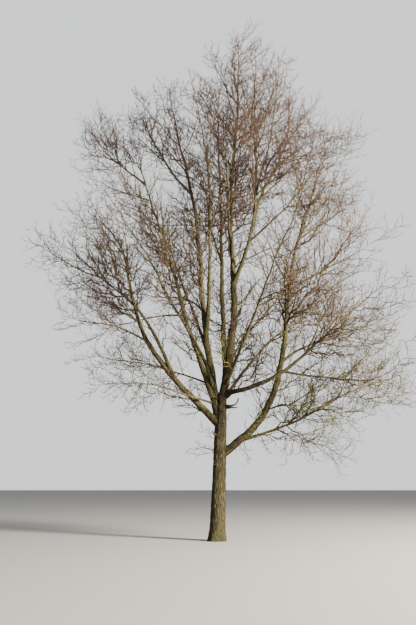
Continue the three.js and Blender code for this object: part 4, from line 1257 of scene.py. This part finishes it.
def carrier_mesh(name, points, edges, **attributes):
    """A mesh of points, and edges if there are any, that carries numbers or vectors on its points."""
    mesh = bpy.data.meshes.new(name)
    mesh.from_pydata(points.tolist(), edges, [])
    for key, values in attributes.items():
        add_attribute(mesh, key, values)
    return mesh


def trunk_rings():
    """The trunk's rings from just under the ground to the fork, with toes at the root flare."""
    angle = 2 * np.pi * np.arange(RING_SIDES) / RING_SIDES
    small, count, turn = SMALL_TOES
    toes = 1 + FLARE_TOE_SHARE * np.cos(FLARE_TOES * angle - FLARE_TOE_TURN)
    toes = toes + small * np.cos(count * angle + turn)
    rings = []
    for height in np.concatenate([np.linspace(*stretch) for stretch in RING_HEIGHTS]):
        above = max(0.0, height)
        flare = FLARE * math.exp(-above / FLARE_HEIGHT) * toes
        flutes = sum(size * np.cos(n * angle + twist * height + start) for size, n, twist, start in FLUTES)
        r = between(TRUNK_RADIUS, above) + flare + flutes
        ring = np.stack([r * np.cos(angle), r * np.sin(angle), np.zeros(RING_SIDES)], axis=1)
        centre = trunk_point(above)
        centre[2] = height
        rings.append(centre + ring)
    return np.array(rings)


def joined_limb(limb, length):
    """The first stretch of a limb's path and its radius, drawn in at its end under the limb's own skin."""
    distance = np.arange(0, length + JOINED_STEP / 2, JOINED_STEP)
    share = distance / limb.length
    path = limb.place(share)
    radius = limb.radius_at(share)
    radius = radius * (1 - (1 - TAKE_OVER_SHARE) * smooth((distance - length + TAKE_OVER) / TAKE_OVER))
    if limb.name == "leader":
        back = path[0] - limb.way(0) * LEADER_FOOT
        path = np.vstack([back, path])
        radius = np.concatenate([[limb.radius * LEADER_FOOT_GIRTH], radius])
    return path, radius


def stub_path(height, heading, rise, curl, length, radius):
    """A short broken branch: its path from the trunk's middle, curled up past the bark, and its radius."""
    inside = between(TRUNK_RADIUS, height)
    t = np.arange(STUB_STEPS) / STUB_STEPS
    way = heading_vector(heading + STUB_WAVE[0] * np.sin(STUB_WAVE[1] * t), rise + curl * t)
    free = np.cumsum(way * length / STUB_STEPS, axis=0)
    start = trunk_point(height)
    rim = start + way[0] * inside
    path = np.vstack([start, rim, rim + free])
    share = np.linspace(0, 1, len(path))
    most, thinner, fade = STUB_GIRTH
    return path, radius * (most - thinner * smooth(share * fade))


def wood_strands():
    """Every stretch of wood that is joined in the trunk's skin: path and radius."""
    heights = np.linspace(0, TRUNK_TOP, TRUNK_STRAND_POINTS)
    strands = [(trunk_point(heights), between(TRUNK_RADIUS, heights))]
    strands += [joined_limb(TREE[name], length) for name, length in JOINED.items()]
    strands += [stub_path(*stub) for stub in STUBS]
    return strands


def bark_coordinates(vertices, strands):
    """For each vertex, its place round and along the nearest strand: two offsets and a length."""
    best = np.full(len(vertices), np.inf)
    result = np.zeros((len(vertices), 3))
    for number, (path, radius) in enumerate(strands):
        ways = unit(np.gradient(path, axis=0))
        a = across(ways[:1])[0][0]
        length = 0.0
        for i in range(len(path) - 1):
            step = path[i + 1] - path[i]
            size = np.linalg.norm(step)
            a = unit(a - ways[i] * np.dot(a, ways[i]))
            b = np.cross(ways[i], a)
            offset = vertices - path[i]
            t = np.clip(offset @ step / size ** 2, 0, 1)
            foot = offset - t[:, None] * step
            gap = np.linalg.norm(foot, axis=1) - (radius[i] + (radius[i + 1] - radius[i]) * t)
            nearer = gap < best
            best[nearer] = gap[nearer]
            result[nearer, 0] = (foot @ a)[nearer] + number
            result[nearer, 1] = (foot @ b)[nearer]
            result[nearer, 2] = length + (t * size)[nearer]
            length += size
    return result


def cut_flat(mesh):
    """Cuts a mesh off at the ground and closes the cut with one flat face."""
    work = bmesh.new()
    work.from_mesh(mesh)
    everything = work.verts[:] + work.edges[:] + work.faces[:]
    bmesh.ops.bisect_plane(work, geom=everything, plane_co=(0, 0, 0), plane_no=(0, 0, 1), clear_inner=True)
    rim = [edge for edge in work.edges if edge.is_boundary]
    for edge in rim:
        for vertex in edge.verts:
            vertex.co.z = 0.0
    made = bmesh.ops.holes_fill(work, edges=rim, sides=0)["faces"]
    bmesh.ops.triangulate(work, faces=made)
    work.to_mesh(mesh)
    work.free()


def finished(piece, nodes):
    """Parents a piece to the body that it rides on and hides the CAD nodes that it stands for."""
    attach(piece, BODY)
    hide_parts(*nodes)


def remeshed(mesh, voxel):
    """One closed skin round overlapping tubes, with the creases between them smoothed."""
    source = placed("wood_source", mesh)
    remesh = source.modifiers.new("join", "REMESH")
    remesh.mode = "VOXEL"
    remesh.voxel_size = voxel
    soften = source.modifiers.new("soften", "SMOOTH")
    soften.factor = SOFTEN_SHARE
    soften.iterations = SOFTEN_TIMES
    return plain_object(source, "wood_joined")


def build_trunk(sizes, colours):
    strands = wood_strands()
    parts = [ring_skin(trunk_rings())]
    for path, radius in strands[1:]:
        parts.append(ring_skin(tube_rings(path[None], radius[None], STRAND_SIDES)[0]))
    joined = remeshed(mesh_from_arrays("wood_parts", *joined_parts(parts)), sizes.voxel)
    mesh = joined.data
    bpy.data.objects.remove(joined)
    vertices = np.empty(len(mesh.vertices) * 3, np.float32)
    mesh.vertices.foreach_get("co", vertices)
    add_attribute(mesh, "bark", bark_coordinates(vertices.reshape(-1, 3).astype(float), strands))
    relief = relief_values(sizes.lumps * TRUNK_LUMPS, sizes.ridge_depth, sizes.ridge_width,
                           trunk_bark_material(colours))
    piece = run_tree(mesh, trunk_relief_tree(), "trunk_wood", **relief)
    cut_flat(piece.data)
    finished(piece, ["trunk"])


def limb_path_mesh(name, limbs):
    """Paths of limbs as edges, with the girth, the length so far and a shift for the bark on each point."""
    points, girths, alongs, shifts, edges = [], [], [], [], []
    offset = 0
    for limb in limbs:
        distance = limb.shares * limb.length
        girth = limb.skin_radius()
        first = 0
        if limb.name in JOINED:
            start = JOINED[limb.name] - 2 * TAKE_OVER
            first = int(start / (limb.length / (len(limb.shares) - 1)))
            inside = smooth((distance - distance[first]) / TAKE_OVER)
            girth = girth * (TAKE_OVER_SHARE + (1 - TAKE_OVER_SHARE) * inside)
        count = len(distance) - first
        points.append(limb.path[first:])
        girths.append(girth[first:])
        alongs.append(distance[first:])
        shifts.append(np.full(count, float(limb.seed)))
        index = offset + np.arange(count - 1)
        edges.append(np.stack([index, index + 1], axis=1))
        offset += count
    return carrier_mesh(name, np.concatenate(points), np.concatenate(edges).tolist(),
                        girth=np.concatenate(girths), along=np.concatenate(alongs),
                        shift=np.concatenate(shifts))


def wood_nodes(limb):
    """The CAD nodes that a dressed limb stands for."""
    if limb.name not in LIMBS:
        return [f"twigs_{limb.owner}"]
    names = [f"bough_{limb.name}"]
    if limb.name == "low_right":
        names.append("bough_low_right_foot")
    return names


def build_boughs(sizes, colours):
    relief = relief_values(sizes.lumps, sizes.ridge_depth * BOUGH_RIDGES, sizes.ridge_width,
                           bough_bark_material(colours))
    tree = limb_skin_tree()
    left = list(TREE.values())
    for label, least, sides, rings in LIMB_CLASSES:
        chosen = [limb for limb in left if limb.radius >= least]
        left = [limb for limb in left if limb.radius < least]
        paths = limb_path_mesh(label, chosen)
        piece = run_tree(paths, tree, f"bough_wood_{label}", Sides=sides, Rings=rings, **relief)
        finished(piece, [node for limb in chosen for node in wood_nodes(limb)])


def twig_materials(colours):
    return {tint: twig_material(tint, getattr(colours, f"twig_{tint}")) for tint in TINTS}


def mass_nodes(growth):
    return [f"twigs_{NAMES[index]}" for index in np.unique(growth.limb)]


def each_tint(growth):
    for number, tint in enumerate(TINTS):
        chosen = growth.pick(growth.tint == number)
        if len(chosen.seed):
            yield tint, chosen


def room():
    """The box that the dressed tree stays in: the CAD box with a little to spare."""
    low, high = np.array(CAD_BOX[0], float), np.array(CAD_BOX[1], float)
    spare = SPARE_SHARE * (high - low)
    return low - spare, high + spare


def grown_levels(sizes):
    """Side branches and every finer level on them, kept in the tree's box."""
    low, high = room()
    low[2] = TWIG_LOWEST
    levels = {"side_branches": side_growth().within(low, high)}
    parents = levels["side_branches"]
    for name, level in TWIG_LEVELS.items():
        density = spray_density(parents.points[:, 0]) if name == "branchlets" else 1.0
        parents = grow_on(parents, level, density).within(low, high)
        levels[name] = parents
    for growth in levels.values():
        growth.radius = growth.radius * sizes.twig_thickness
    return levels


def build_spikes(label, growth, sides, taper, materials):
    for tint, chosen in each_tint(growth):
        mesh = growth_mesh(f"{label}_{tint}", chosen, sides, taper)
        mesh.materials.append(materials[tint])
        finished(placed(mesh.name, mesh), mass_nodes(chosen))


def build_shoots(growth, materials):
    tree = on_points_tree("cones", *CONE)
    for tint, chosen in each_tint(growth):
        way = unit(chosen.points[:, -1] - chosen.points[:, 0])
        source = carrier_mesh(f"shoots_{tint}", chosen.points[:, 0], [],
                              way=way, reach=chosen.length, girth=chosen.radius)
        sides = TWIG_LEVELS["shoots"].sides
        piece = run_tree(source, tree, f"shoots_{tint}", Sides=sides, Material=materials[tint])
        finished(piece, mass_nodes(chosen))


def build_buds(growths, sizes, colours):
    """A bud on the tip of each twig of the growths."""
    tree = on_points_tree("buds", *BUD)
    material = bud_material(colours)
    for label, growth in growths.items():
        way = unit(growth.points[:, -1] - growth.points[:, -2])
        length = sizes.bud * drawn(growth.seed, DRAW_BUD, *BUD_VARY)
        tip = growth.points[:, -1] + way * (length * BUD_OUT)[:, None]
        source = carrier_mesh(f"buds_{label}", tip, [], way=way, reach=length / 2, girth=length * BUD_GIRTH)
        piece = run_tree(source, tree, f"buds_{label}", Sides=BUD_SIDES, Material=material)
        finished(piece, mass_nodes(growth))


def build_twigs(sizes, colours):
    materials = twig_materials(colours)
    levels = grown_levels(sizes)
    build_spikes("side_branches", levels["side_branches"], SIDE_SIDES, SIDE_TAPER, materials)
    for label in ("branchlets", "twigs"):
        build_spikes(label, levels[label], TWIG_LEVELS[label].sides, TWIG_TAPER, materials)
    build_shoots(levels["shoots"], materials)
    twigs = levels["twigs"]
    budded = twigs.pick(twigs.seed % BUD_ON_ONE_TWIG_IN == 0)
    build_buds({"branchlets": levels["branchlets"], "twigs": budded}, sizes, colours)


def build_stage(colours):
    mesh = bpy.data.meshes.new("floor")
    corners = [(x * FLOOR_HALF, y * FLOOR_HALF, 0) for x, y in ((-1, -1), (1, -1), (1, 1), (-1, 1))]
    mesh.from_pydata(corners, [], [(0, 1, 2, 3)])
    mesh.materials.append(floor_material(colours))
    floor = placed("floor", mesh)
    floor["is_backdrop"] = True
    world = bpy.data.worlds.new("studio")
    world.use_nodes = True
    graph = Graph(world.node_tree)
    sky = graph.node("ShaderNodeBackground", None, {"Color": rgb(colours.backdrop), "Strength": 1.0})
    graph.node("ShaderNodeOutputWorld", None, {"Surface": sky})
    bpy.context.scene.world = world
    add_light("key", place=(23.0, -14.0, 11.0), target=(0.0, 0.0, 7.5), size=5.0, power=120000.0,
              colour=(1.0, 0.92, 0.78))
    add_camera()


def aimed(obj, place, target):
    """Puts a light at a place and turns it to a target."""
    from_target = np.array(place) - np.array(target)
    flat = math.hypot(from_target[0], from_target[1])
    obj.location = place
    obj.rotation_euler = (math.atan2(flat, from_target[2]), 0, math.atan2(from_target[0], -from_target[1]))


def add_light(name, place, target, size, power, colour):
    data = bpy.data.lights.new(name, "AREA")
    data.shape = "DISK"
    data.size = size
    data.energy = power
    data.color = colour
    aimed(placed(name, data), place, target)


def add_camera():
    data = bpy.data.cameras.new("camera")
    data.lens = CAMERA_LENS
    data.sensor_width = CAMERA_SENSOR
    data.clip_end = CAMERA_CLIP
    camera = placed("camera", data)
    camera.location = CAMERA_PLACE
    camera.rotation_euler = (math.radians(90 + CAMERA_TILT), 0, 0)
    bpy.context.scene.camera = camera


def colour_property(name, description, default):
    return FloatVectorProperty(name=name, description=description, subtype="COLOR", size=3, min=0, max=2,
                               default=default)


def length_property(name, description, default):
    return FloatProperty(name=name, description=description, default=default, unit="LENGTH")


class TreeSizes(bpy.types.PropertyGroup):
    """Sizes that a user may change before building."""
    voxel: length_property("Voxel", "Grain of the trunk's joined skin", 0.014)
    lumps: length_property("Lumps", "Height of the broad lumps of the bark", 0.010)
    ridge_depth: length_property("Ridge depth", "Depth of the cracks in the bark", 0.007)
    ridge_width: length_property("Ridge width", "Width of the ridges of the bark", 0.034)
    twig_thickness: FloatProperty(
        name="Twig thickness", description="Thickness of the twigs against the rule's", default=1.0,
        subtype="FACTOR")
    bud: length_property("Bud length", "Length of a bud", 0.014)


class TreeColours(bpy.types.PropertyGroup):
    """Colours that a user may change before building."""
    bark: colour_property("Bark", "Lit ridges of the bark", (0.082, 0.074, 0.030))
    bark_green: colour_property("Green bark", "Algae on the bark", (0.070, 0.067, 0.020))
    bark_dark: colour_property("Dark bark", "Dark grain of the bark", (0.027, 0.021, 0.010))
    bark_high: colour_property("High bark", "Bark of the upper limbs", (0.055, 0.044, 0.021))
    fissure: colour_property("Crack", "Bottom of the cracks", (0.012, 0.009, 0.005))
    lichen: colour_property("Lichen", "Patches of lichen", (0.125, 0.108, 0.020))
    moss: colour_property("Moss", "Damp foot of the trunk", (0.018, 0.020, 0.007))
    twig_red: colour_property("Red twigs", "Twigs high up and outside", (0.028, 0.0155, 0.011))
    twig_brown: colour_property("Brown twigs", "Twigs in between", (0.034, 0.020, 0.009))
    twig_grey: colour_property("Grey twigs", "Twigs inside the crown", (0.030, 0.022, 0.012))
    twig_lichen: colour_property("Lichen twigs", "Low twigs with lichen", (0.050, 0.044, 0.013))
    bud: colour_property("Buds", "Bud scales", (0.05, 0.024, 0.013))
    floor: colour_property("Floor", "Studio floor", (0.165, 0.162, 0.159))
    backdrop: colour_property("Backdrop", "Studio surroundings", (1.15, 1.17, 1.2))


class TREE_OT_trunk(bpy.types.Operator):
    """Joins the trunk and the roots of its limbs in one skin with the bark's relief"""
    bl_idname = "tree.trunk"
    bl_label = "Build trunk"

    def execute(self, context):
        build_trunk(context.scene.tree_sizes, context.scene.tree_colours)
        return {"FINISHED"}


class TREE_OT_boughs(bpy.types.Operator):
    """Skins every limb from its root to its tip"""
    bl_idname = "tree.boughs"
    bl_label = "Build boughs"

    def execute(self, context):
        build_boughs(context.scene.tree_sizes, context.scene.tree_colours)
        return {"FINISHED"}


class TREE_OT_twigs(bpy.types.Operator):
    """Grows side branches, branchlets, twigs, shoots and buds on the limbs"""
    bl_idname = "tree.twigs"
    bl_label = "Build twigs"

    def execute(self, context):
        build_twigs(context.scene.tree_sizes, context.scene.tree_colours)
        return {"FINISHED"}


class TREE_OT_stage(bpy.types.Operator):
    """Adds the floor, the studio light and the camera"""
    bl_idname = "tree.stage"
    bl_label = "Build stage"

    def execute(self, context):
        build_stage(context.scene.tree_colours)
        return {"FINISHED"}


class TREE_PT_panel(bpy.types.Panel):
    """Sizes, colours and the steps that build the tree"""
    bl_idname = "TREE_PT_panel"
    bl_label = "Tree"
    bl_space_type = "VIEW_3D"
    bl_region_type = "UI"
    bl_category = "Tree"

    def draw(self, context):
        for group in (context.scene.tree_sizes, context.scene.tree_colours):
            box = self.layout.box()
            for name in group.__annotations__:
                box.prop(group, name)
        for operator in OPERATORS:
            self.layout.operator(operator.bl_idname)


OPERATORS = (TREE_OT_stage, TREE_OT_trunk, TREE_OT_boughs, TREE_OT_twigs)
CLASSES = (TreeSizes, TreeColours, *OPERATORS, TREE_PT_panel)


def register():
    for item in CLASSES:
        bpy.utils.register_class(item)
    bpy.types.Scene.tree_sizes = PointerProperty(type=TreeSizes)
    bpy.types.Scene.tree_colours = PointerProperty(type=TreeColours)


def unregister():
    del bpy.types.Scene.tree_colours
    del bpy.types.Scene.tree_sizes
    for item in reversed(CLASSES):
        bpy.utils.unregister_class(item)


def main():
    register()
    bpy.ops.tree.stage()
    bpy.ops.tree.trunk()
    bpy.ops.tree.boughs()
    bpy.ops.tree.twigs()
    boxes = {"cad": CAD_BOX, "visual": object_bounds()}
    plain = {key: [[float(value) for value in corner] for corner in box] for key, box in boxes.items()}


if __name__ == "__main__":
    main()
